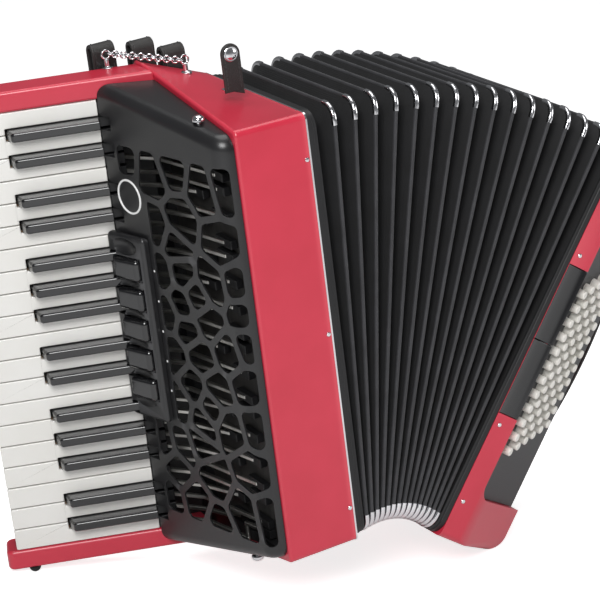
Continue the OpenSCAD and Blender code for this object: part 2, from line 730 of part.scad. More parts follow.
module bass_board() {
    color([0.2, 0.2, 0.22]) stand() in_bass() difference() {
        intersection() {
            on_board() translate([1, -plate_t - fit, 0]) cube([board_len - 3, plate_t, case_len]);
            recess_front(fit);
        }
        on_board() for (j = [0:5], i = [0:11]) button_at(j, i)
            cylinder(r = button_r + fit, h = 8, center = true);
    }
}
row_0 = 8;
button_z0 = 86;
module button_at(j, i) {
    translate([row_0 + j * row_pitch, 0, button_z0 + j * row_shift + i * button_pitch])
        rotate([90, 0, 0]) children();
}
module bass_buttons() {
    color("ivory") stand() in_bass() on_board() for (j = [0:5], i = [0:11]) button_at(j, i) {
        translate([0, 0, -1]) cylinder(r = button_r, h = button_h + plate_t + fit);
        translate([0, 0, -12]) cylinder(r = 1.2, h = 12);
    }
}
module bass_panels() {
    half = (panel_z[1] - panel_z[0]) / 2;
    color([0.05, 0.05, 0.06]) stand() in_bass() for (k = [0, 1]) difference() {
        translate([0.3, 0.3, panel_z[0] + k * half + fit])
            cube([strip_w - 0.6, panel_t - 0.5, half - 2 * fit]);
        translate([strip_w / 2, -26, 0]) cylinder(r = 28, h = case_len, $fn = 96);
    }
}
module bass_reed_block() {
    color("tan") stand() in_bass() for (y = [75, 120])
        translate([2, y - 9, bass_end + 2 + fit])
            cube([bass_w - wall - 22, 18, case_len - 2 * (bass_end + 2 + fit)]);
}
bass_pin_z = [34, 103, 255, 322];
module bass_fasteners() {
    color("silver") stand() in_bass() for (z = bass_pin_z) pin_pair(6, z);
}
// Hand strap: a leather band in a shallow arch over the outer face, from end to end.
strap_z = [22, case_len - 22];
strap_y = [92, 92 + strap_w];
strap_n = 24;
function arch(t, off) = [bass_w + bass_lip + fit + off + (strap_h - leather_t) * pow(sin(180 * t), 0.8),
                         strap_z[0] + (strap_z[1] - strap_z[0]) * t];
module hand_strap() {
    color([0.07, 0.07, 0.07]) stand() in_bass() translate([0, strap_y[0], 0]) along_y(strap_w)
        polygon([for (i = [0:strap_n]) arch(i / strap_n, leather_t), for (i = [strap_n:-1:0])
            arch(i / strap_n, 0)]);
}
wheel_r = 9;
wheel_x = bass_w - 22;
wheel_y = 122;
module strap_wheel() {
    color("silver") stand() in_bass() translate([wheel_x, wheel_y, case_len + 0.4]) difference() {
        cylinder(r = wheel_r, h = 5, $fn = 48);
        for (a = [0:15:345]) rotate([0, 0, a]) translate([wheel_r + 0.5, 0, -1])
            cylinder(r = 1, h = 7, $fn = 16);
    }
}
air_r = 7;
air_stem_r = 3;
air_y = 74;
air_z = 292;
air_travel = 4;
module air_button() {
    color("ivory") stand() in_bass() translate([bass_w, air_y, air_z]) rotate([0, 90, 0]) union() {
        translate([0, 0, air_travel + 0.4]) cylinder(r = air_r, h = 5);
        translate([0, 0, -wall - 3]) cylinder(r = air_stem_r, h = wall + air_travel + 4);
    }
}

treble_case();
keyboard_frame();
key_felt();
key_axle();
treble_soundboard();
treble_reed_blocks();
treble_reed_plates();
grille_cover();
ring_badge();
register_housing();
treble_bellows_frame();
treble_fasteners();
keyboard_feet();
strap_brackets();
strap_chain();
strap_loops();
bellows_straps();
strap_snaps();
white_keys(0);  // key_e
white_keys(1);  // key_d
white_keys(2);  // key_c
white_keys(3);  // key_b
white_keys(4);  // key_a
white_keys(5);  // key_g
white_keys(6);  // key_f
black_keys(1);  // key_d_sharp
black_keys(2);  // key_c_sharp
black_keys(4);  // key_a_sharp
black_keys(5);  // key_g_sharp
black_keys(6);  // key_f_sharp
switch(1);  // switch_1
switch(2);  // switch_2
switch(3);  // switch_3
switch(4);  // switch_4
switch(5);  // switch_5
fold(1);  // fold_01
fold(2);  // fold_02
fold(3);  // fold_03
fold(4);  // fold_04
fold(5);  // fold_05
fold(6);  // fold_06
fold(7);  // fold_07
fold(8);  // fold_08
fold(9);  // fold_09
fold(10);  // fold_10
fold(11);  // fold_11
fold(12);  // fold_12
fold(13);  // fold_13
fold(14);  // fold_14
fold(15);  // fold_15
bass_bellows_frame();
bass_case();
bass_board();
bass_panels();
bass_reed_block();
bass_fasteners();
hand_strap();
strap_wheel();
air_button();
bass_buttons();
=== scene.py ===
import math

import bmesh
import bpy
from mathutils import Matrix, Vector
from mathutils.geometry import delaunay_2d_cdt


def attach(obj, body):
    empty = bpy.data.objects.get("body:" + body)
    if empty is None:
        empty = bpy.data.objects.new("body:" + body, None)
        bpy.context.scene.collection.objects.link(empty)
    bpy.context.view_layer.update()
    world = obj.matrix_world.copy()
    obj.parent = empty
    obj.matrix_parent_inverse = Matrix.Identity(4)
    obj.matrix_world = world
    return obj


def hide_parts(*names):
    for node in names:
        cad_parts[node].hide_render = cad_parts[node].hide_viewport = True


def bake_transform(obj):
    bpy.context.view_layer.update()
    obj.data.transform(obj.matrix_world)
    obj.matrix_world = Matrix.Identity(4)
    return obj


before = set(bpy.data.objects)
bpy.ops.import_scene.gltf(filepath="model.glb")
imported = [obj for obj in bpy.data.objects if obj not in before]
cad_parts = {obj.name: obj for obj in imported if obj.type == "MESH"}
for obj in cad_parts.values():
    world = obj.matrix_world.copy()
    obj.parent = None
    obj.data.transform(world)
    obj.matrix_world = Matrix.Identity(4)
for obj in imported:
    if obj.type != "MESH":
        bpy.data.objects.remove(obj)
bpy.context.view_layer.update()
print("frame loaded")

# Sizes that several pieces share, in millimetres and degrees
body = {
    "caseLength": 358, "caseDepth": 168, "frontWidth": 62, "wall": 7, "shoulder": 25, "shoulderY": 150,
    "keyPitch": 18.6, "keyCount": 20, "keyTilt": 22.3, "keyEdge": (-105.6, 148), "whiteLength": 119,
    "blackWidth": 9.6, "blackHeight": 10.5, "blackPitch": 21.7,
    "cheekWidth": 17, "cheekOver": 9, "bedDepth": 28, "bedThick": 8,
    "coverCorner": (-75, 3), "coverInset": 5, "coverLift": 1.5,
    "fan": 37, "stack": 81.6, "frameThick": 6, "gaps": 16, "foldRadius": 14,
    "bassWidth": 96, "stripWidth": 21, "boardDrop": 9, "boardBack": 55, "bassEnd": 41, "bassLip": 4,
}
# The instrument leans to stand on both cases, and the shift centres it on the floor
lean = math.radians(7.5065235)
shift = Vector((-30.78633, -110.73813, 55.281003))
pivotX = body["stack"] * 0.55
foldPitch = (body["stack"] - 2 * body["frameThick"]) / body["gaps"]
keysLow = (body["caseLength"] - body["keyCount"] * body["keyPitch"]) / 2


def turnAbout(axis, degrees):
    return Matrix.Rotation(math.radians(degrees), 4, axis)


def moveBy(x, y, z):
    return Matrix.Translation((x, y, z))


# Frames of the parts, from millimetres to the standing instrument in metres
caseFrame = Matrix.Scale(0.001, 4) @ Matrix.Translation(shift) @ Matrix.Rotation(-lean, 4, "Y")
keyFrame = caseFrame @ moveBy(*body["keyEdge"], 0) @ turnAbout("Z", 180 - body["keyTilt"])
coverRun = Vector(body["keyEdge"]) - Vector(body["coverCorner"])
coverTurn = math.degrees(math.atan2(coverRun.y, coverRun.x))
coverFrame = caseFrame @ moveBy(*body["coverCorner"], 0) @ turnAbout("Z", coverTurn)
fanned = caseFrame @ moveBy(pivotX, 0, 0) @ turnAbout("Y", body["fan"])
bassFrame = fanned @ moveBy(body["stack"] - pivotX, 0, 0)
boardRun = Vector((body["bassWidth"] - body["stripWidth"], body["boardBack"] - body["boardDrop"]))
boardTurn = math.degrees(math.atan2(boardRun.y, boardRun.x))
boardFrame = bassFrame @ moveBy(body["stripWidth"], body["boardDrop"], 0) @ turnAbout("Z", boardTurn)


def foldFrame(k):
    return (caseFrame @ moveBy(pivotX, 0, 0) @ turnAbout("Y", body["fan"] * k / body["gaps"])
            @ moveBy(body["frameThick"] + k * foldPitch - pivotX, 0, 0))


def keyPoint(s, h):
    # point of the key frame in the plan of the case
    a = math.radians(body["keyTilt"])
    return Vector((body["keyEdge"][0] - math.cos(a) * s - math.sin(a) * h,
                   body["keyEdge"][1] + math.sin(a) * s - math.cos(a) * h))


# Materials
def newGroup(name, inputs, outputs):
    group = bpy.data.node_groups.new(name, "ShaderNodeTree")
    for label, kind, value in inputs:
        group.interface.new_socket(name=label, in_out="INPUT", socket_type=kind).default_value = value
    for label, kind in outputs:
        group.interface.new_socket(name=label, in_out="OUTPUT", socket_type=kind)
    return group, group.nodes.new("NodeGroupInput"), group.nodes.new("NodeGroupOutput")


def makeGrainGroup():
    # fine mottling of colour and gloss, with a height for bumps
    group, start, end = newGroup(
        "surfaceGrain",
        [("Scale", "NodeSocketFloat", 400.0), ("Roughness", "NodeSocketFloat", 0.3),
         ("Spread", "NodeSocketFloat", 0.05)],
        [("Roughness", "NodeSocketFloat"), ("Height", "NodeSocketFloat"), ("Mask", "NodeSocketFloat")])
    nodes, links = group.nodes, group.links
    place = nodes.new("ShaderNodeTexCoord")
    fine = nodes.new("ShaderNodeTexNoise")
    fine.inputs["Detail"].default_value = 3
    broad = nodes.new("ShaderNodeTexNoise")
    broad.inputs["Scale"].default_value = 22
    broad.inputs["Detail"].default_value = 4
    centre = nodes.new("ShaderNodeMath")
    centre.operation = "SUBTRACT"
    centre.inputs[1].default_value = 0.5
    scaled = nodes.new("ShaderNodeMath")
    scaled.operation = "MULTIPLY_ADD"
    links.new(place.outputs["Object"], fine.inputs["Vector"])
    links.new(place.outputs["Object"], broad.inputs["Vector"])
    links.new(start.outputs["Scale"], fine.inputs["Scale"])
    links.new(broad.outputs["Fac"], centre.inputs[0])
    links.new(centre.outputs[0], scaled.inputs[0])
    links.new(start.outputs["Spread"], scaled.inputs[1])
    links.new(start.outputs["Roughness"], scaled.inputs[2])
    links.new(scaled.outputs[0], end.inputs["Roughness"])
    links.new(fine.outputs["Fac"], end.inputs["Height"])
    links.new(broad.outputs["Fac"], end.inputs["Mask"])
    return group


def makeWeaveGroup():
    # crossed threads for the bellows cloth and the tape on its folds
    group, start, end = newGroup("threadWeave", [("Scale", "NodeSocketFloat", 1500.0)],
                                 [("Height", "NodeSocketFloat"), ("Mask", "NodeSocketFloat")])
    nodes, links = group.nodes, group.links
    place = nodes.new("ShaderNodeTexCoord")
    threads = []
    for direction in ("X", "Z"):
        wave = nodes.new("ShaderNodeTexWave")
        wave.bands_direction = direction
        wave.inputs["Distortion"].default_value = 0.6
        links.new(place.outputs["Object"], wave.inputs["Vector"])
        links.new(start.outputs["Scale"], wave.inputs["Scale"])
        threads.append(wave)
    cross = nodes.new("ShaderNodeMath")
    cross.operation = "MAXIMUM"
    links.new(threads[0].outputs["Fac"], cross.inputs[0])
    links.new(threads[1].outputs["Fac"], cross.inputs[1])
    patch = nodes.new("ShaderNodeTexNoise")
    patch.inputs["Scale"].default_value = 60
    links.new(place.outputs["Object"], patch.inputs["Vector"])
    links.new(cross.outputs[0], end.inputs["Height"])
    links.new(patch.outputs["Fac"], end.inputs["Mask"])
    return group


def makePoreGroup():
    # pebbled leather grain
    group, start, end = newGroup("leatherPores", [("Scale", "NodeSocketFloat", 900.0)],
                                 [("Height", "NodeSocketFloat"), ("Mask", "NodeSocketFloat")])
    nodes, links = group.nodes, group.links
    place = nodes.new("ShaderNodeTexCoord")
    cells = nodes.new("ShaderNodeTexVoronoi")
    cells.feature = "DISTANCE_TO_EDGE"
    links.new(place.outputs["Object"], cells.inputs["Vector"])
    links.new(start.outputs["Scale"], cells.inputs["Scale"])
    ramp = nodes.new("ShaderNodeValToRGB")
    ramp.color_ramp.elements[1].position = 0.25
    links.new(cells.outputs["Distance"], ramp.inputs["Fac"])
    worn = nodes.new("ShaderNodeTexNoise")
    worn.inputs["Scale"].default_value = 45
    links.new(place.outputs["Object"], worn.inputs["Vector"])
    links.new(ramp.outputs["Color"], end.inputs["Height"])
    links.new(worn.outputs["Fac"], end.inputs["Mask"])
    return group


def makeEdgeGroup():
    # mask of the sharp outer edges, which are painted brighter: a painted highlight on lacquer and cover,
    # rubbed wear on leather
    group, start, end = newGroup(
        "edgeSheenAndWear", [("Start", "NodeSocketFloat", 0.52), ("End", "NodeSocketFloat", 0.62)],
        [("Mask", "NodeSocketFloat")])
    nodes, links = group.nodes, group.links
    shape = nodes.new("ShaderNodeNewGeometry")
    reach = nodes.new("ShaderNodeMapRange")
    links.new(shape.outputs["Pointiness"], reach.inputs["Value"])
    links.new(start.outputs["Start"], reach.inputs["From Min"])
    links.new(start.outputs["End"], reach.inputs["From Max"])
    links.new(reach.outputs["Result"], end.inputs["Mask"])
    return group


grainGroup, weaveGroup = makeGrainGroup(), makeWeaveGroup()
poreGroup, edgeGroup = makePoreGroup(), makeEdgeGroup()


def useGroup(material, group, **values):
    node = material.node_tree.nodes.new("ShaderNodeGroup")
    node.node_tree = group
    for label, value in values.items():
        node.inputs[label].default_value = value
    return node


# Every finish: two colours mottled together, gloss, coat and a bump of grain, weave or pores
# edge is the colour painted on sharp edges: a painted highlight for redLacquer and coverBlack, rubbed wear
# for strapLeather
finishes = {
    "redLacquer": dict(colour=(0.56, 0.022, 0.052), shade=(0.52, 0.018, 0.044), roughness=0.36, spread=0.05,
                       grain=700, bump=0.05, coat=0.35, coatRoughness=0.22, edge=(0.74, 0.10, 0.13)),
    "coverBlack": dict(colour=(0.013, 0.013, 0.014), shade=(0.010, 0.010, 0.011), roughness=0.34, spread=0.06,
                       grain=1500, bump=0.06, coat=0.15, coatRoughness=0.3, edge=(0.05, 0.05, 0.053)),
    "boardGrey": dict(colour=(0.021, 0.021, 0.023), shade=(0.017, 0.017, 0.019), roughness=0.42, spread=0.05,
                      grain=1500, bump=0.06),
    "glossBlack": dict(colour=(0.008, 0.008, 0.009), shade=(0.005, 0.005, 0.006), roughness=0.14, spread=0.05,
                       grain=300, bump=0.01, coat=0.6, coatRoughness=0.05),
    "keyWhite": dict(colour=(0.76, 0.75, 0.72), shade=(0.73, 0.717, 0.68), roughness=0.22, spread=0.06,
                     grain=300, bump=0.01, coat=0.3, coatRoughness=0.1),
    "keyCore": dict(colour=(0.42, 0.27, 0.15), shade=(0.33, 0.20, 0.11), roughness=0.6, spread=0.1,
                    grain=900, bump=0.1),
    "buttonWhite": dict(colour=(0.80, 0.78, 0.73), shade=(0.75, 0.73, 0.67), roughness=0.3, spread=0.06,
                        grain=300, bump=0.02, coat=0.2),
    "badgeWhite": dict(colour=(0.86, 0.86, 0.85), shade=(0.80, 0.80, 0.79), roughness=0.3, spread=0.05,
                       grain=500, bump=0.02),
    "bellowsCloth": dict(colour=(0.006, 0.006, 0.007), shade=(0.004, 0.004, 0.0045), roughness=0.75,
                         spread=0.1, texture="weave", textureScale=620, bump=0.35, sheen=0.04),
    "ridgeTape": dict(colour=(0.028, 0.028, 0.032), shade=(0.018, 0.018, 0.021), roughness=0.5, spread=0.12,
                      texture="weave", textureScale=900, bump=0.3, sheen=0.1),
    "brightMetal": dict(colour=(0.80, 0.80, 0.82), shade=(0.70, 0.70, 0.72), roughness=0.16, spread=0.1,
                        grain=900, bump=0.03, metallic=1.0),
    "paleMetal": dict(colour=(0.62, 0.61, 0.58), shade=(0.52, 0.51, 0.48), roughness=0.38, spread=0.15,
                      grain=900, bump=0.05, metallic=1.0),
    # black of the bellows frames, also put on the case's inside, under the keys and on key tails and pallets
    # as painted shade
    "frameBlack": dict(colour=(0.008, 0.008, 0.009), shade=(0.005, 0.005, 0.006), roughness=0.5, spread=0.1,
                       grain=900, bump=0.06),
    # dark wood of the soundboard: painted shade under the grille
    "shadedInnerWood": dict(colour=(0.030, 0.028, 0.026), shade=(0.018, 0.017, 0.016), roughness=0.55, spread=0.1,
                      texture="wood", textureScale=70, bump=0.08),
    "strapLeather": dict(colour=(0.016, 0.015, 0.015), shade=(0.009, 0.009, 0.009), roughness=0.5,
                         spread=0.15, texture="pores", textureScale=850, bump=0.35,
                         edge=(0.05, 0.046, 0.042)),
    "strapThread": dict(colour=(0.06, 0.06, 0.062), shade=(0.04, 0.04, 0.04), roughness=0.7, spread=0.1,
                        grain=2000, bump=0.2),
    "bareWood": dict(colour=(0.50, 0.31, 0.15), shade=(0.38, 0.22, 0.10), roughness=0.6, spread=0.1,
                     texture="wood", textureScale=70, bump=0.08),
    "footRubber": dict(colour=(0.015, 0.015, 0.015), shade=(0.010, 0.010, 0.010), roughness=0.85, spread=0.1,
                       grain=1200, bump=0.15),
    "feltRed": dict(colour=(0.20, 0.02, 0.025), shade=(0.13, 0.012, 0.016), roughness=0.95, spread=0.05,
                    grain=2500, bump=0.5, sheen=0.5),
}
bumpDepth = 0.0004


def makeFinish(name, colour, shade, roughness, spread, bump, grain=900, texture="grain", textureScale=900,
               metallic=0.0, coat=0.0, coatRoughness=0.1, sheen=0.0, edge=None):
    material = bpy.data.materials.new(name)
    material.use_nodes = True
    nodes, links = material.node_tree.nodes, material.node_tree.links
    surface = nodes["Principled BSDF"]
    surface.inputs["Metallic"].default_value = metallic
    surface.inputs["Coat Weight"].default_value = coat
    surface.inputs["Coat Roughness"].default_value = coatRoughness
    surface.inputs["Sheen Weight"].default_value = sheen
    mottle = useGroup(material, grainGroup, Scale=grain, Roughness=roughness, Spread=spread)
    links.new(mottle.outputs["Roughness"], surface.inputs["Roughness"])
    mask, height = mottle.outputs["Mask"], mottle.outputs["Height"]
    if texture == "weave":
        weave = useGroup(material, weaveGroup, Scale=textureScale)
        mask, height = weave.outputs["Mask"], weave.outputs["Height"]
    elif texture == "pores":
        pores = useGroup(material, poreGroup, Scale=textureScale)
        mask, height = pores.outputs["Mask"], pores.outputs["Height"]
    elif texture == "wood":
        place = nodes.new("ShaderNodeTexCoord")
        stretch = nodes.new("ShaderNodeMapping")
        stretch.inputs["Scale"].default_value = (1, 1, 0.08)
        rings = nodes.new("ShaderNodeTexNoise")
        rings.inputs["Scale"].default_value = textureScale * 4
        rings.inputs["Detail"].default_value = 5
        links.new(place.outputs["Object"], stretch.inputs["Vector"])
        links.new(stretch.outputs["Vector"], rings.inputs["Vector"])
        mask, height = rings.outputs["Fac"], rings.outputs["Fac"]
    tone = nodes.new("ShaderNodeMix")
    tone.data_type = "RGBA"
    tone.inputs["A"].default_value = (*shade, 1)
    tone.inputs["B"].default_value = (*colour, 1)
    spreadOut = nodes.new("ShaderNodeMapRange")
    spreadOut.inputs["From Min"].default_value = 0.35
    spreadOut.inputs["From Max"].default_value = 0.65
    links.new(mask, spreadOut.inputs["Value"])
    links.new(spreadOut.outputs["Result"], tone.inputs["Factor"])
    result = tone.outputs["Result"]
    # sharp edges take the edge colour: a painted highlight on the red lacquer and black cover, rubbed wear on
    # the leather
    if edge:
        sheenAndWearMask = useGroup(material, edgeGroup)
        worn = nodes.new("ShaderNodeMix")
        worn.data_type = "RGBA"
        worn.inputs["B"].default_value = (*edge, 1)
        links.new(result, worn.inputs["A"])
        links.new(sheenAndWearMask.outputs["Mask"], worn.inputs["Factor"])
        result = worn.outputs["Result"]
    links.new(result, surface.inputs["Base Color"])
    relief = nodes.new("ShaderNodeBump")
    relief.inputs["Strength"].default_value = bump
    relief.inputs["Distance"].default_value = bumpDepth
    links.new(height, relief.inputs["Height"])
    links.new(relief.outputs["Normal"], surface.inputs["Normal"])
    return material


materials = {name: makeFinish(name, **values) for name, values in finishes.items()}
print("finishes made:", len(materials))


# Mesh helpers
def circlePoints(radius, count, start=0.0):
    turns = [start + 2 * math.pi * i / count for i in range(count)]
    return [(radius * math.cos(t), radius * math.sin(t)) for t in turns]


def turned(v, angle):
    # flat vector turned about its start
    c, s = math.cos(angle), math.sin(angle)
    return Vector((v.x * c - v.y * s, v.x * s + v.y * c))


def roundedLoop(points, radii, steps=6):
    # outline with each corner turned into an arc of steps + 1 points
    loop = []
    count = len(points)
    for i in range(count):
        a, b, c = Vector(points[i - 1]), Vector(points[i]), Vector(points[(i + 1) % count])
        radius = radii if isinstance(radii, (int, float)) else radii[i]
        u, v = (a - b).normalized(), (c - b).normalized()
        inner = math.acos(max(-1, min(1, u.dot(v))))
        radius = max(radius, 0.02)
        if inner > math.pi - 0.02:
            for j in range(steps + 1):
                loop.append(b + (v - u) * 0.05 * (j - steps / 2))
            continue
        back = min(radius / math.tan(inner / 2), 0.49 * (a - b).length, 0.49 * (c - b).length)
        radius = back * math.tan(inner / 2)
        middle = b + (u + v).normalized() * radius / math.sin(inner / 2)
        spoke = b + u * back - middle
        side = -1 if u.x * v.y - u.y * v.x > 0 else 1
        for j in range(steps + 1):
            loop.append(middle + turned(spoke, side * j / steps * (math.pi - inner)))
    return loop


def addLoft(mesh, loops, ring=False, capStart=True, capEnd=True, slot=0, closed=True):
    # skin through loops of equally many points; ring joins the last loop to the first
    rows = [[mesh.verts.new(Vector(p)) for p in loop] for loop in loops]
    count = len(rows[0])
    pairs = list(zip(rows, rows[1:])) + ([(rows[-1], rows[0])] if ring else [])
    for low, high in pairs:
        for i in range(count if closed else count - 1):
            j = (i + 1) % count
            mesh.faces.new((low[i], low[j], high[j], high[i])).material_index = slot
    if not ring and closed:
        if capStart:
            mesh.faces.new(list(reversed(rows[0]))).material_index = slot
        if capEnd:
            mesh.faces.new(rows[-1]).material_index = slot
    return rows


def addPrism(mesh, outline, low, high, bevel=0.6, axis="z", slot=0, steps=2):
    # block with softened top and bottom edges, drawn in its plan
    def put(points, level):
        if axis == "z":
            return [(p[0], p[1], level) for p in points]
        if axis == "y":
            return [(p[0], level, p[1]) for p in points]
        return [(level, p[0], p[1]) for p in points]

    def inset(amount):
        out = []
        count = len(outline)
        area = sum(outline[i][0] * outline[(i + 1) % count][1] - outline[(i + 1) % count][0] * outline[i][1]
                   for i in range(count))
        sign = 1 if area > 0 else -1
        for i in range(count):
            a, b, c = Vector(outline[i - 1]), Vector(outline[i]), Vector(outline[(i + 1) % count])
            u, v = (b - a), (c - b)
            if u.length < 1e-6 or v.length < 1e-6:
                out.append(b)
                continue
            n = (Vector((-u.y, u.x)).normalized() + Vector((-v.y, v.x)).normalized())
            n = n / max(n.length_squared / 2, 0.3)
            out.append(b + n * amount * sign)
        return untangle(out)

    def untangle(moved):
        # arcs tighter than the inset turn over: their points go to the corner that is left
        count = len(outline)
        sides = [Vector(outline[(i + 1) % count]) - Vector(outline[i]) for i in range(count)]
        over = [sides[i].length < 1e-6 or (moved[(i + 1) % count] - moved[i]).dot(sides[i]) <= 0
                for i in range(count)]
        if not any(over) or all(over):
            return moved
        first = next(i for i in range(count) if not over[i])
        i = 0
        while i < count:
            a = (first + i) % count
            if not over[a]:
                i += 1
                continue
            run = 1
            while over[(a + run) % count]:
                run += 1
            before, after = (a - 1) % count, (a + run) % count
            p, q, u, v = moved[before], moved[after], sides[before], sides[after]
            cross = u.x * v.y - u.y * v.x
            if abs(cross) > 1e-6:
                share = ((q - p).x * v.y - (q - p).y * v.x) / cross
                corner = p + u * share
                for j in range(run + 1):
                    moved[(a + j) % count] = corner
            i += run
        return moved

    loops = []
    for i in range(steps + 1):
        t = math.pi / 2 * i / steps
        loops.append(put(inset(bevel * (1 - math.sin(t))), low + bevel * (1 - math.cos(t))))
    for i in range(steps + 1):
        t = math.pi / 2 * i / steps
        loops.append(put(inset(bevel * (1 - math.cos(t))), high - bevel * (1 - math.sin(t))))
    return addLoft(mesh, loops, slot=slot)


def addTube(mesh, path, radius, sides=10, slot=0, ring=False):
    # round bar along a path of points
    points = [Vector(p) for p in path]
    count = len(points)
    loops = []
    normal = None
    for i, p in enumerate(points):
        ahead = points[(i + 1) % count] if ring or i < count - 1 else p
        behind = points[i - 1] if ring or i > 0 else p
        along = (ahead - behind).normalized()
        if normal is None:
            normal = along.orthogonal().normalized()
        normal = (normal - along * normal.dot(along)).normalized()
        cross = along.cross(normal)
        loops.append([p + radius * (normal * math.cos(a) + cross * math.sin(a))
                      for a in (2 * math.pi * j / sides for j in range(sides))])
    return addLoft(mesh, loops, ring=ring, slot=slot)


def addTurned(mesh, profile, sides=24, slot=0):
    # solid of revolution about z; profile is a list of (radius, height)
    loops = [[(r * math.cos(a), r * math.sin(a), z) for a in (2 * math.pi * j / sides for j in range(sides))]
             for r, z in profile]
    return addLoft(mesh, loops, slot=slot)


def addAt(mesh, matrix, build):
    # runs build on a small mesh of its own and joins it in at matrix
    part = bmesh.new()
    build(part)
    bmesh.ops.transform(part, matrix=matrix, verts=part.verts)
    hold = bpy.data.meshes.new("hold")
    part.to_mesh(hold)
    part.free()
    mesh.from_mesh(hold)
    bpy.data.meshes.remove(hold)


def evenNormals(piece):
    # large faces set the shading, so that softened edges don't tint them; it has to come last
    old = piece.modifiers.get("evenNormals")
    if old:
        piece.modifiers.remove(old)
    even = piece.modifiers.new("evenNormals", "WEIGHTED_NORMAL")
    even.mode = "FACE_AREA"
    even.keep_sharp = True


def makePiece(name, mesh, place, riding, finish, nodes=(), angle=40, merge=0.0005):
    # turns a mesh in millimetres into a finished piece
    if merge:
        bmesh.ops.remove_doubles(mesh, verts=mesh.verts, dist=merge)
    bmesh.ops.dissolve_degenerate(mesh, edges=mesh.edges, dist=0.0001)
    bmesh.ops.recalc_face_normals(mesh, faces=mesh.faces)
    bmesh.ops.transform(mesh, matrix=place, verts=mesh.verts)
    data = bpy.data.meshes.new(name)
    mesh.to_mesh(data)
    mesh.free()
    for one in finish if isinstance(finish, (list, tuple)) else [finish]:
        data.materials.append(materials[one])
    data.polygons.foreach_set("use_smooth", [True] * len(data.polygons))
    data.set_sharp_from_angle(angle=math.radians(angle))
    piece = bpy.data.objects.new(name, data)
    bpy.context.scene.collection.objects.link(piece)
    if riding:
        evenNormals(piece)
        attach(piece, riding)
    if nodes:
        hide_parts(*nodes)
    return piece


def setFinish(node, finish):
    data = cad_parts[node].data
    data.materials.clear()
    data.materials.append(materials[finish])


# The treble case: a hollow shell with a sloping top and bottom
trebleCase = {"edgeRound": 5.0, "ringSteps": 14, "shoulderRound": 30, "innerRound": 3, "backRound": 2.5,
              "rim": 7.5, "innerShare": 0.88, "risingSteps": 12, "windowY": (12, 136), "windowSlope": 8,
              "windowSpare": 0.5, "inside": 0.4, "trimWidth": 1.5, "trimProud": 0.3, "trimBack": 0.1}


def sideLoop(share, inset, radius, grow=0.0):
    # side view of the case at a share of its full rise
    rise = body["shoulder"] * share
    low, high = inset - grow, body["caseLength"] - inset + grow
    y0, y1 = inset - grow, body["caseDepth"] - inset + grow
    points = [(y0, low), (body["shoulderY"], low - rise), (y1, low - rise), (y1, high + rise),
              (body["shoulderY"], high + rise), (y0, high)]
    bend = trebleCase["shoulderRound"]
    return roundedLoop(points, [radius, bend, radius, radius, bend, radius], trebleCase["ringSteps"])


def placed(loop, x):
    return [(x, p.x, p.y) for p in loop]


def windowLoop():
    # opening of the case's front, with as many corners as the side view has
    y0, y1 = trebleCase["windowY"]
    z0 = body["wall"] + trebleCase["windowSpare"]
    z1 = body["caseLength"] - z0
    turn = y1 - trebleCase["windowSlope"]
    points = [(y0, z0), (turn, z0), (y1, z0 + 0.1), (y1, z1 - 0.1), (turn, z1), (y0, z1)]
    return roundedLoop(points, [3, 1, 1, 1, 1, 3], trebleCase["ringSteps"])


mesh = bmesh.new()
width, edgeRound = body["frontWidth"], trebleCase["edgeRound"]
backRound, innerRound, wallX = trebleCase["backRound"], trebleCase["innerRound"], body["wall"] - width
rising = trebleCase["risingSteps"]
loops = [placed(sideLoop(i / rising, 0, edgeRound), -width * i / rising) for i in range(rising)]
for i in range(5):
    t = math.pi / 2 * i / 4
    loops.append(placed(sideLoop(1, backRound * (1 - math.cos(t)), edgeRound),
                        -width + backRound * (1 - math.sin(t))))
loops += [placed(sideLoop(1, trebleCase["rim"], innerRound), -width), placed(windowLoop(), -width),
          placed(windowLoop(), wallX),
          placed(sideLoop(trebleCase["innerShare"], body["wall"], innerRound), wallX),
          placed(sideLoop(0, body["wall"], innerRound), 0)]
addLoft(mesh, loops, ring=True)
bmesh.ops.remove_doubles(mesh, verts=mesh.verts, dist=0.0005)
edge, halfLength = body["wall"] + trebleCase["inside"], body["caseLength"] / 2


def insideCase(p):
    # on the inner side of the front wall, which is painted black as the shade inside the case
    rise = body["shoulder"] * min(1, p.y / body["shoulderY"])
    return (p.x < wallX + 0.1 and edge < p.y < body["caseDepth"] - edge
            and abs(p.z - halfLength) < halfLength - edge + rise)


# faces inside the case get the black finish: painted shade behind the grille
for face in mesh.faces:
    if all(insideCase(v.co) for v in face.verts):
        face.material_index = 1
makePiece("trebleShell", mesh, caseFrame, "treble", ["redLacquer", "frameBlack"],
          ["treble_case"], angle=50)

mesh = bmesh.new()
front, back, proud = -trebleCase["trimWidth"], -trebleCase["trimBack"], trebleCase["trimProud"]
trimSection = [(front, 0), (front, proud), (back, proud), (back, 0)]
addLoft(mesh, [placed(sideLoop(0, 0, edgeRound, grow), x) for x, grow in trimSection], ring=True)
makePiece("trebleTrim", mesh, caseFrame, "treble", "brightMetal")
print("treble case done")

# The bed under the keys and the two cheeks beside them
keyboardBody = {"cheekRound": 3.0, "cheekCorners": [6, 6, 1, 1], "cheekPlay": 0.02, "cheekTop": 1,
                "bedCorners": [1.5, 3, 0.5, 0.5], "bedUnder": 1, "insideFrom": 6}
cheekTip = body["whiteLength"] + body["cheekOver"]
keysHigh = keysLow + body["keyCount"] * body["keyPitch"]


def onKeyLine(x, h):
    a = math.radians(body["keyTilt"])
    return keyPoint(-(x - body["keyEdge"][0] + math.sin(a) * h) / math.cos(a), h)


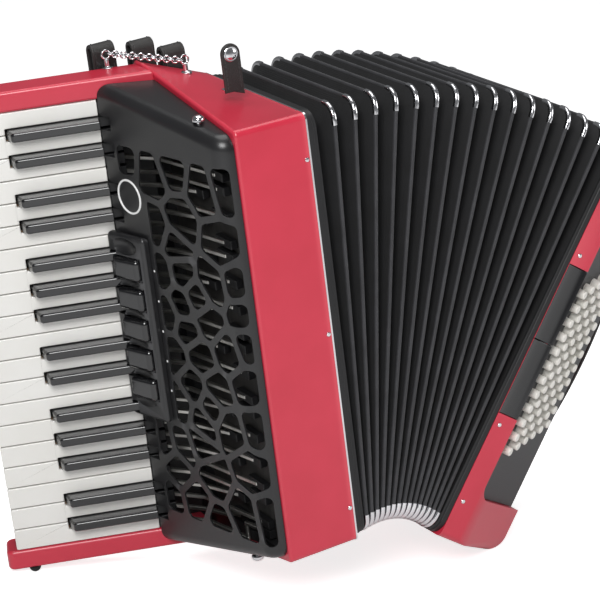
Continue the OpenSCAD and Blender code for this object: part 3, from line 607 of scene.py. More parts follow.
mesh = bmesh.new()
bedLow, bedTop = -body["bedDepth"], body["bedThick"] - body["bedDepth"]
cheekTop, play, under = keyboardBody["cheekTop"], keyboardBody["cheekPlay"], keyboardBody["bedUnder"]
cheekPlan = roundedLoop([keyPoint(cheekTip, cheekTop), keyPoint(cheekTip, bedLow), onKeyLine(-width, bedLow),
                         onKeyLine(-width, cheekTop)], keyboardBody["cheekCorners"], 8)
for low in (keysLow - body["cheekWidth"], keysHigh):
    addPrism(mesh, cheekPlan, low + play, low + body["cheekWidth"] - play, keyboardBody["cheekRound"],
             steps=5)
bedPlan = roundedLoop([keyPoint(body["whiteLength"], bedTop), keyPoint(body["whiteLength"], bedLow),
                       onKeyLine(-width, bedLow), onKeyLine(-width, bedTop)], keyboardBody["bedCorners"], 5)
addPrism(mesh, bedPlan, keysLow - under, keysHigh + under, 0.1)
toKey = keyFrame.inverted() @ caseFrame


def underKeys(p):
    # faces of the bed and cheeks that the keys cover, painted black as the shade under the keys and cover
    if not keysLow - 1.5 < p.z < keysHigh + 1.5:
        return False
    front = keyboardBody["insideFrom"] if p.y > bedTop + 0.5 else body["whiteLength"] - 1
    return p.y > bedTop - 0.5 and p.x < front or p.x < keyboardBody["insideFrom"]


# the covered faces get the black finish: painted shade
for face in mesh.faces:
    if underKeys(toKey @ face.calc_center_median()):
        face.material_index = 1
makePiece("keyboardBody", mesh, caseFrame, "treble", ["redLacquer", "frameBlack"],
          ["keyboard_frame"], angle=50, merge=0)
print("keyboard body done")


# Cutting, softening and perforating
def toObject(mesh):
    data = bpy.data.meshes.new("hold")
    mesh.to_mesh(data)
    mesh.free()
    holder = bpy.data.objects.new("hold", data)
    bpy.context.scene.collection.objects.link(holder)
    return holder


def subtract(mesh, cutters):
    # the mesh with every cutter taken away, as a new mesh
    bmesh.ops.recalc_face_normals(mesh, faces=mesh.faces)
    holder = toObject(mesh)
    tools = []
    for cutter in cutters:
        bmesh.ops.recalc_face_normals(cutter, faces=cutter.faces)
        tools.append(toObject(cutter))
        modifier = holder.modifiers.new("cut", "BOOLEAN")
        modifier.operation = "DIFFERENCE"
        modifier.solver = "EXACT"
        modifier.object = tools[-1]
    result = bmesh.new()
    result.from_object(holder, bpy.context.evaluated_depsgraph_get())
    for one in [holder, *tools]:
        data = one.data
        bpy.data.objects.remove(one)
        bpy.data.meshes.remove(data)
    return result


def boxMesh(low, high, matrix=None):
    mesh = bmesh.new()
    bmesh.ops.create_cube(mesh, size=1.0)
    size = Vector(high) - Vector(low)
    middle = (Vector(high) + Vector(low)) / 2
    shape = Matrix.Translation(middle) @ Matrix.Diagonal((*size, 1))
    bmesh.ops.transform(mesh, matrix=(matrix or Matrix()) @ shape, verts=mesh.verts)
    return mesh


def soften(piece, width, segments=2, angle=35):
    bevel = piece.modifiers.new("softEdges", "BEVEL")
    bevel.width = width / 1000
    bevel.segments = segments
    bevel.limit_method = "ANGLE"
    bevel.angle_limit = math.radians(angle)
    evenNormals(piece)


def refine(loop, step):
    # closed outline with no side longer than step
    fine = []
    for i, a in enumerate(loop):
        b = loop[(i + 1) % len(loop)]
        count = max(1, math.ceil((Vector(b) - Vector(a)).length / step))
        fine += [Vector(a) + (Vector(b) - Vector(a)) * j / count for j in range(count)]
    return fine


def insideLoop(p, loop):
    inside = False
    for i in range(len(loop)):
        a, b = loop[i - 1], loop[i]
        if (a[1] > p[1]) != (b[1] > p[1]) and p[0] < a[0] + (b[0] - a[0]) * (p[1] - a[1]) / (b[1] - a[1]):
            inside = not inside
    return inside


def perforated(mesh, outline, holes, extra, place, slot=0):
    # flat sheet with holes, its points put in space by place(p)
    points, edges = [], []
    for loop in [outline, *holes]:
        first = len(points)
        points += [Vector((p[0], p[1])) for p in loop]
        edges += [(first + i, first + (i + 1) % len(loop)) for i in range(len(loop))]
    points += [Vector(p) for p in extra]
    verts, _, faces, _, _, _ = delaunay_2d_cdt(points, edges, [], 0, 1e-5)
    made = [mesh.verts.new(place(p)) for p in verts]
    for face in faces:
        centre = sum((verts[i] for i in face), Vector((0, 0))) / len(face)
        if insideLoop(centre, outline) and not any(insideLoop(centre, hole) for hole in holes):
            mesh.faces.new([made[i] for i in face]).material_index = slot
    for vert in [v for v in made if not v.link_faces]:
        mesh.verts.remove(vert)


# The pierced cover over the treble side
cover = {"round": 10.0, "cornerRadius": 14.0, "thick": 1.6, "ribWidth": 5.6, "cellRound": 5.5, "arcSteps": 14,
         "runSteps": 12, "notchGap": 0.8, "shortSide": 0.8, "smallCell": 25}
# centres of the grille's openings: distance along the cover and height
cellCentres = [
    (127, 322), (87, 313), (66, 321), (27, 308), (1, 314), (61, 281), (94, 268), (73, 256), (16, 269),
    (95, 232), (69, 236), (32, 233), (0, 237), (74, 207), (53, 217), (95, 196), (42, 200), (-2, 213),
    (72, 186), (23, 179), (-2, 187), (60, 167), (93, 162), (74, 139), (44, 141), (4, 152), (96, 118),
    (54, 125), (69, 107), (34, 111), (0, 118), (124, 76), (99, 80), (75, 88), (111, 59), (63, 62),
    (14, 79), (128, 28), (89, 33), (30, 39), (67, 20), (-1, 43)]
grilleArea = {"low": 16, "high": 331, "left": -3, "right": 131}
housing = {"g": (106, 150), "z": (100, 258), "height": 9, "clear": 5}
badge = {"g": 122, "z": 289, "outer": 14.5, "inner": 12.9, "proud": 0.8, "clear": 3.5, "reach": 60}
along = coverRun.normalized()
outward = Vector((-along.y, along.x))
keyUp = Vector((-math.sin(math.radians(body["keyTilt"])), -math.cos(math.radians(body["keyTilt"]))))
frontX = -body["frontWidth"] - 0.2
slope = body["shoulder"] / body["shoulderY"]


def coverPath(d):
    # the cover's plan, moved inwards by d, from the case's front round the corner to the keys
    corner = Vector(body["coverCorner"]) - outward * d + along * (d * (1 + outward.y) / along.y)
    reach = ((Vector(body["keyEdge"]) - corner).dot(keyUp) + body["coverLift"]) / along.dot(keyUp)
    points = [Vector((frontX, corner.y)), corner, corner + along * reach]
    u, v = Vector((1, 0)), along
    half = math.acos(u.dot(v)) / 2
    radius = max(cover["cornerRadius"] - d, 1.0)
    back = min(radius / math.tan(half), abs(frontX - corner.x) * 0.98)
    radius = back * math.tan(half)
    middle = corner + (u + v).normalized() * radius / math.sin(half)
    spoke = corner + u * back - middle
    path = [points[0]]
    for i in range(cover["arcSteps"] + 1):
        path.append(middle + turned(spoke, -i / cover["arcSteps"] * (math.pi - 2 * half)))
    start, count = path[-1], cover["runSteps"]
    path += [start + (points[2] - start) * i / count for i in range(1, count + 1)]
    return path


outerPath = coverPath(0)
halfTurn = math.acos(along.x) / 2
tangentLength = cover["cornerRadius"] / math.tan(halfTurn)
arcLength = cover["cornerRadius"] * (math.pi - 2 * halfTurn)
towards = (Vector((1, 0)) + along).normalized()
arcMiddle = Vector(body["coverCorner"]) + towards * cover["cornerRadius"] / math.sin(halfTurn)


def coverPoint(p):
    # sheet coordinates (distance along the cover, height) to the case's millimetres
    w, z = p
    if w >= tangentLength:
        q = Vector(body["coverCorner"]) + along * w
    elif w > tangentLength - arcLength:
        spoke = Vector(body["coverCorner"]) + along * tangentLength - arcMiddle
        q = arcMiddle + turned(spoke, (tangentLength - w) / cover["cornerRadius"])
    else:
        x, y = body["coverCorner"]
        q = Vector((x + tangentLength + (tangentLength - arcLength - w), y))
    return (q.x, q.y, z)


pathW = [tangentLength - arcLength - (outerPath[0] - outerPath[1]).length]
pathW += [tangentLength - arcLength * (1 - i / cover["arcSteps"]) for i in range(cover["arcSteps"] + 1)]
pathW += [(p - Vector(body["coverCorner"])).dot(along) for p in outerPath[-cover["runSteps"]:]]


def coverTop(y, up):
    edge = body["coverInset"] - slope * y
    return body["caseLength"] - edge if up else edge


def hasBlack(n):
    # whether a sharp stands between white keys n - 1 and n; the pattern repeats every seven
    return 0 < n < body["keyCount"] and n % 7 in (1, 2, 4, 5, 6)


def blackMiddle(n):
    # sharps are spread evenly about the middle of their group of two or three
    g = n % 7
    centre = 1.5 if g < 3 else 5
    return keysLow + body["keyPitch"] * (n - g + centre) + (g - centre) * body["blackPitch"]


def clipCell(loop, normal, limit):
    # what is left of a loop on the near side of a line
    normal = Vector(normal)
    kept = []
    for k, p in enumerate(loop):
        q = loop[(k + 1) % len(loop)]
        fp, fq = normal.dot(p) - limit, normal.dot(q) - limit
        if fp <= 0:
            kept.append(p)
        if fp * fq < 0:
            kept.append(p + (q - p) * fp / (fp - fq))
    return kept


def withoutShort(loop):
    return [p for k, p in enumerate(loop) if (p - loop[k - 1]).length > cover["shortSide"]]


def makeCell(i):
    # the part of the grille nearer to this centre than to any other, less half a rib
    a = Vector(cellCentres[i])
    area = grilleArea
    loop = [Vector(p) for p in ((area["left"], area["low"]), (area["right"], area["low"]),
                                (area["right"], area["high"]), (area["left"], area["high"]))]
    for j, other in enumerate(cellCentres):
        if j == i:
            continue
        v = (Vector(other) - a).normalized()
        loop = clipCell(loop, v, v.dot((a + Vector(other)) / 2) - cover["ribWidth"] / 2)
        if len(loop) < 3:
            return None
    cleaned = withoutShort(loop)
    return cleaned if len(cleaned) > 2 else None


cells = []
for index in range(len(cellCentres)):
    loop = makeCell(index)
    if not loop:
        continue
    centre, badgeMiddle = Vector(cellCentres[index]), Vector((badge["g"], badge["z"]))
    if housing["z"][0] - 20 < centre.y < housing["z"][1] + 20 and centre.x > 50:
        loop = clipCell(loop, (1, 0), housing["g"][0] - housing["clear"])
    away = (centre - badgeMiddle).normalized()
    if (centre - badgeMiddle).length < badge["reach"]:
        loop = clipCell(loop, -away, -away.dot(badgeMiddle + away * (badge["outer"] + badge["clear"])))
    loop = withoutShort(loop)
    if len(loop) < 3:
        continue
    area = abs(sum(loop[k - 1].x * loop[k].y - loop[k].x * loop[k - 1].y for k in range(len(loop)))) / 2
    if area > cover["smallCell"]:
        cells.append(refine(roundedLoop(loop, cover["cellRound"], 5), 2.5))

outline = [Vector((w, coverTop(p.y, False) + cover["round"])) for w, p in zip(pathW, outerPath)]
topSide = [Vector((w, coverTop(p.y, True) - cover["round"])) for w, p in zip(pathW, outerPath)]
keyEnd = pathW[-1]
notchDeep = (body["blackHeight"] + 1.5 * cover["notchGap"] - body["coverLift"]) / abs(along.dot(keyUp))
keySide = []
for n in range(1, body["keyCount"]):
    if hasBlack(n):
        middle, halfWide = blackMiddle(n), body["blackWidth"] / 2 + cover["notchGap"]
        keySide += [Vector((keyEnd, middle - halfWide)), Vector((keyEnd - notchDeep, middle - halfWide)),
                    Vector((keyEnd - notchDeep, middle + halfWide)), Vector((keyEnd, middle + halfWide))]
outline += keySide + list(reversed(topSide))
# more points where the sheet bends, clear of its openings
extra = []
for i in range(1, 13):
    w = tangentLength + 1.5 - i / 12 * (arcLength + 2.0)
    for j in range(1, 110):
        z = 16 + j * 3.0
        if coverTop(3, False) + 11 < z < coverTop(3, True) - 11 and w > pathW[0] + 0.4:
            if all(not insideLoop((w, z), hole) and min((Vector((w, z)) - q).length for q in hole) > 0.7
                   for hole in cells if abs(hole[0].x - w) < 60 and abs(hole[0].y - z) < 60):
                extra.append((w, z))

mesh = bmesh.new()
perforated(mesh, outline, cells, extra, coverPoint)
for up in (False, True):
    rows = []
    for i in range(8):
        t = math.pi / 2 * i / 7
        d = cover["round"] * (1 - math.cos(t))
        level = cover["round"] * (1 - math.sin(t)) * (1 if not up else -1)
        rows.append([(p.x, p.y, coverTop(p.y, up) + level) for p in coverPath(d)])
    addLoft(mesh, rows, closed=False)
    last = [Vector(p) for p in rows[-1]]
    back = onKeyLine(frontX, body["coverLift"])
    closing = mesh.verts.new((back.x, back.y, coverTop(back.y, up)))
    hub = [mesh.verts.new(p) for p in last]
    for a, b in zip(hub, hub[1:]):
        mesh.faces.new((a, b, closing))
grille = makePiece("grilleCover", mesh, caseFrame, "treble", "coverBlack", ["grille_cover"],
                   angle=40, merge=0.01)
sheet = grille.modifiers.new("thickness", "SOLIDIFY")
sheet.thickness = cover["thick"] / 1000
sheet.offset = -1
sheet.use_even_offset = False
soften(grille, 0.55, 3, 60)
print("grille cover done, cells:", len(cells))

# The block with the five register switches
switches = {"pitch": 25.6, "width": 19, "round": 4.2, "slotDepth": (112, 141), "slotHeight": (2, 14),
            "slotHalf": 10, "hinge": (116, 5), "hingePin": 1.45, "dot": 103.4,
            "section": [(113, 2.8), (135, 6.0), (139, 9.3), (139, 13.8), (113, 10.8)],
            "sectionRound": [1, 1.5, 2.5, 5, 4.5],
            "dish": ((127, 11.2), 12.8, (16, 5.6, 5.4)), "lastDish": ((127, 13.5, 248.5), (17, 10.5, 8.5))}


def switchMiddle(k):
    return body["caseLength"] / 2 + (k - 3) * switches["pitch"]


def addDish(cutters, centre, reach):
    dish = bmesh.new()
    bmesh.ops.create_uvsphere(dish, u_segments=28, v_segments=18, radius=1.0)
    bmesh.ops.transform(dish, matrix=moveBy(*centre) @ Matrix.Diagonal((*reach, 1)), verts=dish.verts)
    cutters.append(dish)


mesh = bmesh.new()
near, far = housing["g"]
corners = [(near, 0.2), (far, 0.2), (far, housing["height"] + 0.2), (near, housing["height"] - 2.8)]
profile = roundedLoop(corners, [0.3, 0.3, 5, 3], 6)
addPrism(mesh, profile, *housing["z"], 4.0, steps=6)
cutters = []
(near, far), (low, high), slotHalf = switches["slotDepth"], switches["slotHeight"], switches["slotHalf"]
for k in range(1, 6):
    middle = switchMiddle(k)
    cutters.append(boxMesh((near, low, middle - slotHalf), (far, high, middle + slotHalf)))
# the keys pass under the housing, and the sharps into it
overKeys = coverFrame.inverted() @ keyFrame
cutters.append(boxMesh((-40, -60, -40), (60, body["coverLift"], 400), overKeys))
sharpHalf = body["blackWidth"] / 2 + cover["notchGap"]
sharpHigh = body["blackHeight"] + 1.5 * cover["notchGap"]
for n in range(1, body["keyCount"]):
    middle = blackMiddle(n)
    if hasBlack(n) and housing["z"][0] - 8 < middle < housing["z"][1] + 8:
        cutters.append(boxMesh((-20, -2, middle - sharpHalf), (40, sharpHigh, middle + sharpHalf), overKeys))
(g, h), above, reach = switches["dish"]
for k in range(5):
    addDish(cutters, (g, h, switchMiddle(k) + above), reach)
addDish(cutters, *switches["lastDish"])
mesh = subtract(mesh, cutters)
for k in range(1, 6):
    ends = [(*switches["hinge"], switchMiddle(k) + side * (slotHalf + 0.2)) for side in (-1, 1)]
    addTube(mesh, ends, switches["hingePin"], 12)
block = makePiece("registerHousing", mesh, coverFrame, "treble", "coverBlack",
                  ["register_housing"], angle=45)
soften(block, 0.35, 2, 50)
profile, halfSwitch = roundedLoop(switches["section"], switches["sectionRound"], 8), switches["width"] / 2
for k in range(1, 6):
    mesh = bmesh.new()
    middle = switchMiddle(k)
    addPrism(mesh, profile, middle - halfSwitch, middle + halfSwitch, switches["round"], steps=8)
    makePiece(f"registerSwitch{k}", mesh, coverFrame, f"register_{k}", "glossBlack",
              [f"switch_{k}"], angle=60)
mesh = bmesh.new()
inner, outer, proud = badge["inner"], badge["outer"], badge["proud"]
profile = [(inner, 0), (outer, 0), (outer, proud * 0.6), (outer - 0.25, proud), (inner + 0.25, proud),
           (inner, proud * 0.6)]
loops = [[(r * math.cos(a), r * math.sin(a), z) for r, z in profile] for a in
         (2 * math.pi * i / 64 for i in range(64))]
addLoft(mesh, loops, ring=True)
bmesh.ops.transform(mesh, matrix=moveBy(badge["g"], 0, badge["z"]) @ turnAbout("X", -90), verts=mesh.verts)
makePiece("ringBadge", mesh, coverFrame, "treble", "badgeWhite", ["ring_badge"], angle=35)
mesh = bmesh.new()
for k in range(1, 6):
    addAt(mesh, moveBy(switches["dot"], 0.02, switchMiddle(k)) @ turnAbout("X", -90), lambda part: addTurned(
        part, [(1.0, 0), (1.0, 0.1), (0.85, 0.16), (0.05, 0.17)], 20))
makePiece("registerDots", mesh, coverFrame, "treble", "badgeWhite", angle=35)
print("registers and badge done")

# The keys, one piece for each note of the scale
keys = {"height": 9, "plate": 4.0, "round": 1.0, "gap": 0.8, "coreIn": 0.5, "cornerRounds": (0.2, 0.8, 1.6),
        "blackLength": 73, "blackTop": 7.4, "blackSlope": 3.8, "blackRound": 1.6,
        "blackCorners": [0.2, 2.2, 2.2, 0.2],
        "tail": 16, "whiteTail": 4.5, "blackTail": 4, "armStart": (-13.5, -5), "armElbow": (-73, 120),
        "armWidth": 3, "armHeight": 3.4, "armTurn": (0.71, 0.6), "palletX": -61.2, "palletY": (46, 84),
        "palletSize": (6, 26, 7.4), "palletReach": 12.7}
noteNames = {0: "e", 1: "d", 2: "c", 3: "b", 4: "a", 5: "g", 6: "f"}
sharpNames = {1: "d_sharp", 2: "c_sharp", 4: "a_sharp", 5: "g_sharp", 6: "f_sharp"}


def inKey(x, y):
    p = toKey @ Vector((x, y, 0))
    return Vector((p.x, p.y))


def addBar(mesh, a, b, wide, low, high, slot):
    u = (b - a).normalized()
    n = Vector((-u.y, u.x)) * wide / 2
    a, b = a - u * wide / 2, b + u * wide / 2
    plan = roundedLoop([a - n, b - n, b + n, a + n], wide * 0.42, 3)
    addPrism(mesh, plan, low, high, 0.4, slot=slot, steps=1)


def addArm(mesh, row, z):
    # lever from the key's tail to its pallet on the soundboard
    x, y = keys["palletX"], keys["palletY"][row]
    target = min(max(z, keys["palletReach"]), body["caseLength"] - keys["palletReach"])
    hook, elbow = inKey(x + 1, y), inKey(*keys["armElbow"])
    jog = target - z
    turnOff = elbow + (hook - elbow) * keys["armTurn"][row]
    half = keys["armWidth"] / 2
    addBar(mesh, Vector(keys["armStart"]), elbow, keys["armHeight"], z - half, z + half, 2)
    addBar(mesh, elbow, turnOff, keys["armHeight"], z - half, z + half, 2)
    if abs(jog) > 0.1:
        loop = [turnOff + Vector(p) for p in circlePoints(keys["armHeight"] / 2, 14)]
        addPrism(mesh, loop, min(z, target) - half, max(z, target) + half, 0.3, slot=2, steps=1)
    addBar(mesh, turnOff, hook, keys["armHeight"], target - half, target + half, 2)
    deep, long, wide = keys["palletSize"]
    corners = [inKey(x + a * deep, y + b * long / 2) for a, b in ((0, -1), (1, -1), (1, 1), (0, 1))]
    # the pallet is painted black as the shade under the cover
    addPrism(mesh, roundedLoop(corners, 0.8, 3), target - wide / 2, target + wide / 2, 0.6, slot=3)


def addTail(mesh, middle, half):
    # back end of a key, which the axle runs through, painted black as the shade under the cover
    tail = -keys["tail"]
    plan = [(tail, middle - half), (0, middle - half), (0, middle + half), (tail, middle + half)]
    addPrism(mesh, plan, -keys["height"], -0.2, 0.4, axis="y", slot=3, steps=1)


def whiteCorners(z0, z1, lo, hi):
    # corners of a white key, cut back beside the sharps, each with its radius
    turn, tip = keys["blackLength"] + 1, body["whiteLength"]
    back, notch, front = keys["cornerRounds"]
    corners = [(0, lo, back)]
    if lo > z0:
        corners += [(turn, lo, notch), (turn, z0, notch)]
    corners += [(tip, z0, front), (tip, z1, front)]
    if hi < z1:
        corners += [(turn, z1, notch), (turn, hi, notch)]
    return corners + [(0, hi, back)]


for first in range(7):
    mesh = bmesh.new()
    for i in range(first, body["keyCount"], 7):
        z0 = keysLow + i * body["keyPitch"] + keys["gap"] / 2
        z1 = z0 + body["keyPitch"] - keys["gap"]
        lo = max(z0, blackMiddle(i) + body["blackWidth"] / 2 + keys["gap"] / 2) if hasBlack(i) else z0
        hi = min(z1, blackMiddle(i + 1) - body["blackWidth"] / 2 - keys["gap"] / 2) if hasBlack(i + 1) else z1
        corners = whiteCorners(z0, z1, lo, hi)
        plan = roundedLoop([(s, z) for s, z, _ in corners], [radius for _, _, radius in corners], 5)
        addPrism(mesh, plan, -keys["plate"], 0, keys["round"], axis="y", steps=4)
        tip = body["whiteLength"]
        core = roundedLoop([(s - keys["coreIn"] if s == tip else s, z) for s, z, _ in corners], 0.4, 2)
        addPrism(mesh, core, -keys["height"], -keys["plate"] - 0.02, 0.3, axis="y", slot=1, steps=1)
        middle = (lo + hi) / 2
        addTail(mesh, middle, keys["whiteTail"])
        addArm(mesh, 0, middle)
    makePiece(f"whiteKeys_{noteNames[first]}", mesh, keyFrame, f"key_{noteNames[first]}_keys",
              ["keyWhite", "keyCore", "paleMetal", "frameBlack"], [f"key_{noteNames[first]}"],
              angle=40, merge=0)
for first, name in sharpNames.items():
    mesh = bmesh.new()
    for n in range(first, body["keyCount"], 7):
        middle = blackMiddle(n)
        loops = []
        levels = [(-keys["height"], 0), (0, 0), (4, 0)]
        levels += [(body["blackHeight"] - keys["blackRound"] * (1 - math.sin(t)),
                    keys["blackRound"] * (1 - math.cos(t))) for t in (math.pi / 2 * i / 5 for i in range(6))]
        for h, inset in levels:
            share = max(0, h) / body["blackHeight"]
            end = keys["blackLength"] - keys["blackSlope"] * share - inset
            wide = (body["blackWidth"] - (body["blackWidth"] - keys["blackTop"]) * share) / 2 - inset
            corners = [(0, -wide), (end, -wide), (end, wide), (0, wide)]
            plan = roundedLoop(corners, keys["blackCorners"], 5)
            loops.append([(p.x, h, p.y + middle) for p in plan])
        addLoft(mesh, loops)
        addTail(mesh, middle, keys["blackTail"])
        addArm(mesh, 1, middle)
    makePiece(f"blackKeys_{name}", mesh, keyFrame, f"key_{name}_keys",
              ["glossBlack", "keyCore", "paleMetal", "frameBlack"], [f"key_{name}"], angle=40,
              merge=0)
print("keys done")

# The bellows: rigid folds, and cloth that is lofted between them
bellows = {"tapeHalf": 1.7, "metalHalf": 2.0, "metalLeg": 17, "metalDeep": 5, "cardIn": 24,
           "clothOut": -2.3, "clothIn": -20.0, "clothStart": 2.0,
           "clothSteps": (0, 0.12, 0.35, 0.6, 0.85, 1.0), "blendReach": 0.9}


def foldLoop(out, steps=8):
    deep, long = body["caseDepth"] + out, body["caseLength"] + out
    corners = [(-out, -out), (deep, -out), (deep, long), (-out, long)]
    return roundedLoop(corners, max(body["foldRadius"] + out, 0.5), steps)


def foldDense(out):
    # the same outline with extra points along its straight sides
    loop, dense = foldLoop(out), []
    for i, a in enumerate(loop):
        b = loop[(i + 1) % len(loop)]
        dense.append(a)
        if i % 9 == 8:
            count = 6 if (i // 9) % 2 == 0 else 14
            dense += [a + (b - a) * j / count for j in range(1, count)]
    return dense


half = bellows["tapeHalf"]
tapeSection = [(-half, -bellows["cardIn"]), (-half, -2.2), (-1.35, -1.2), (-0.7, -0.75), (0, -0.6),
               (0.7, -0.75), (1.35, -1.2), (half, -2.2), (half, -bellows["cardIn"])]
outer, deep = bellows["metalHalf"], -bellows["metalDeep"]
metalSection = [(-outer, deep), (-outer, -1.3), (-1.5, -0.45), (-0.8, -0.1), (0, 0), (0.8, -0.1),
                (1.5, -0.45), (outer, -1.3), (outer, deep), (half, deep), (half, -1.9), (0, -0.8),
                (-half, -1.9), (-half, deep)]


def cornerPath(corner, out, steps=8):
    # outline round one corner of a fold, with its two straight legs
    loop = foldLoop(out, steps)
    arc = loop[corner * (steps + 1):(corner + 1) * (steps + 1)]
    prior, following = loop[corner * (steps + 1) - 1], loop[((corner + 1) * (steps + 1)) % len(loop)]
    leg = bellows["metalLeg"] - body["foldRadius"]
    start = arc[0] + (prior - arc[0]).normalized() * leg
    finish = arc[-1] + (following - arc[-1]).normalized() * leg
    return [start, *arc, finish]


for k in range(1, body["gaps"]):
    mesh = bmesh.new()
    addLoft(mesh, [[(x, p.x, p.y) for p in foldLoop(out)] for x, out in tapeSection], ring=True)
    for corner in range(4):
        paths = [cornerPath(corner, out) for _, out in metalSection]
        loops = [[(x, path[i].x, path[i].y) for (x, _), path in zip(metalSection, paths)]
                 for i in range(len(paths[0]))]
        addLoft(mesh, loops, slot=1)
    makePiece(f"bellowsFold{k:02d}", mesh, foldFrame(k), f"fold_{k:02d}_card", ["ridgeTape", "brightMetal"],
              [f"fold_{k:02d}"], angle=45, merge=0)


for k in range(body["gaps"]):
    mesh = bmesh.new()
    low, high, between = foldFrame(k), foldFrame(k + 1), foldFrame(k + 0.5)
    lowEdge = bellows["clothStart"] if k == 0 else half
    highEdge = bellows["clothStart"] if k == body["gaps"] - 1 else half
    edges, valley = foldDense(bellows["clothOut"]), foldDense(bellows["clothIn"])
    bottom = [between @ Vector((0, q.x, q.y)) for q in valley]
    rising = [high @ Vector((-highEdge, p.x, p.y)) for p in edges]
    falling = [low @ Vector((lowEdge, p.x, p.y)) for p in edges]
    steps = bellows["clothSteps"]
    rows = [[a.lerp(b, share) for a, b in zip(falling, bottom)] for share in steps[:-1]]
    rows += [[a.lerp(b, share) for a, b in zip(rising, bottom)] for share in reversed(steps)]
    addLoft(mesh, rows, capStart=False, capEnd=False)
    piece = makePiece(f"bellowsCloth{k + 1:02d}", mesh, Matrix(), None, "bellowsCloth",
                      angle=70, merge=0)
    reach = body["caseLength"] * bellows["blendReach"]
    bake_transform(piece)

frameSection = [(0, -bellows["cardIn"]), (0, -0.7), (0.4, -0.5), (4.6, -0.5), (5, -0.9), (5, -1.2),
                (7.9, -1.2), (8, -1.5), (8, -bellows["cardIn"])]
for side, place, flip in (("treble", caseFrame, 1), ("bass", bassFrame, -1)):
    mesh = bmesh.new()
    addLoft(mesh, [[(x * flip, p.x, p.y) for p in foldLoop(out)] for x, out in frameSection], ring=True)
    makePiece(f"{side}BellowsFrame", mesh, place, side, "frameBlack",
              [f"{side}_bellows_frame"], angle=40)
print("bellows done")

# The bass case with its button board
bass = {"edge": 6.0, "bulb": 17.0, "depths": (10, 16, 22, 28, 34, 40), "backDepths": (60, 100, 150),
        "recessCorner": 12.0, "recessSteps": 8, "hollow": ((-2, 7, 14), (17.5, 161, 344)),
        "chamber": [(-3, 7), (4.35, 7), (89, 58.9), (89, 161), (-3, 161)], "chamberZ": (43, 315),
        "window": ((3.3, -1, 53), (66, 8, 305)), "airHole": ((85, 70.5, 288.5), (110, 77.5, 295.5))}
panels = {"z": (112, 246), "seat": ((0.1, -4), (21.5, 7.5)), "across": (0.3, 20.7), "back": 6.6, "arc": 28,
          "arcMiddle": (10.5, -26), "front": 0.3, "gap": 0.2}
bassEdge = body["bassWidth"] + body["bassLip"]
lobeX = body["stripWidth"] + body["boardDrop"] * math.tan(math.radians(boardTurn / 2))
lobeY = (bassEdge - lobeX) * math.tan(math.radians(boardTurn))


def bassLoop(y, inset):
    # front view of the bass case at a depth, softened towards its ends
    reach = bassEdge if y > lobeY else lobeX + y * (bassEdge - lobeX) / lobeY
    share = max(0, (reach - lobeX) / (bassEdge - lobeX))
    radius = max(1.5, bass["bulb"] * share - inset * 0.5)
    return [(p.x, y, p.y) for p in roundedLoop(
        [(0, inset), (reach - inset * 0.8, inset), (reach - inset * 0.8, body["caseLength"] - inset),
         (0, body["caseLength"] - inset)], [0.3, radius, radius, 0.3], 10)]


mesh = bmesh.new()
turns = [math.pi / 2 * i / 5 for i in range(6)]
loops = [bassLoop(bass["edge"] * (1 - math.cos(t)), bass["edge"] * (1 - math.sin(t))) for t in turns]
loops += [bassLoop(y, 0) for y in (*bass["depths"], lobeY, *bass["backDepths"])]
loops += [bassLoop(body["caseDepth"] - bass["edge"] * (1 - math.sin(t)), bass["edge"] * (1 - math.cos(t)))
          for t in turns]
addLoft(mesh, loops)


def boardY(x):
    return body["boardDrop"] + (x - body["stripWidth"]) * math.tan(math.radians(boardTurn))


recess = bmesh.new()
rows = []
for i in range(bass["recessSteps"] + 1):
    t = math.pi / 2 * i / bass["recessSteps"]
    x = body["stripWidth"] + bass["recessCorner"] * (1 - math.cos(t))
    rows.append((x, boardY(x), bass["recessCorner"] * (1 - math.sin(t))))
rows += [(body["bassWidth"], boardY(body["bassWidth"]), 0), (body["bassWidth"] + 0.01, 175, 0), (140, 175, 0)]
loops = []
for x, deepest, drop in rows:
    low, high = body["bassEnd"] + drop, body["caseLength"] - body["bassEnd"] - drop
    loops.append([(x, -4, low), (x, deepest, low), (x, deepest, high), (x, -4, high)])
addLoft(recess, loops)
chamber = bmesh.new()
addLoft(chamber, [[(x, y, z) for x, y in bass["chamber"]] for z in bass["chamberZ"]])
toBoard = moveBy(body["stripWidth"], body["boardDrop"], 0) @ turnAbout("Z", boardTurn)
window = boxMesh(*bass["window"], toBoard)
seat = boxMesh(*[(*corner, z) for corner, z in zip(panels["seat"], panels["z"])])
mesh = subtract(mesh, [recess, boxMesh(*bass["hollow"]), chamber, window, seat, boxMesh(*bass["airHole"])])
shell = makePiece("bassShell", mesh, bassFrame, "bass", "redLacquer", ["bass_case"], angle=45,
                  merge=0)
soften(shell, 1.2, 3, 38)

mesh = bmesh.new()
(low, high), (left, right), (arcX, arcY) = panels["z"], panels["across"], panels["arcMiddle"]
section = [(left, panels["back"]), (right, panels["back"])]
for i in range(15):
    x = right - (right - left) * i / 14
    section.append((x, max(panels["front"], arcY + math.sqrt(panels["arc"] ** 2 - (x - arcX) ** 2))))
for start in (low, (low + high) / 2):
    addPrism(mesh, section, start + panels["gap"], start + (high - low) / 2 - panels["gap"], 0.8, steps=3)
makePiece("bassPanels", mesh, bassFrame, "bass", "glossBlack", ["bass_panels"], angle=35)

board = {"clear": 0.4, "under": 2.4, "thick": 2.0, "holeSpare": 0.35, "rowCount": 6, "perRow": 12,
         "firstRow": 8, "firstButton": 86, "rowPitch": 10.8, "rowShift": 6.5, "buttonPitch": 12.9,
         "buttonRadius": 3.7}


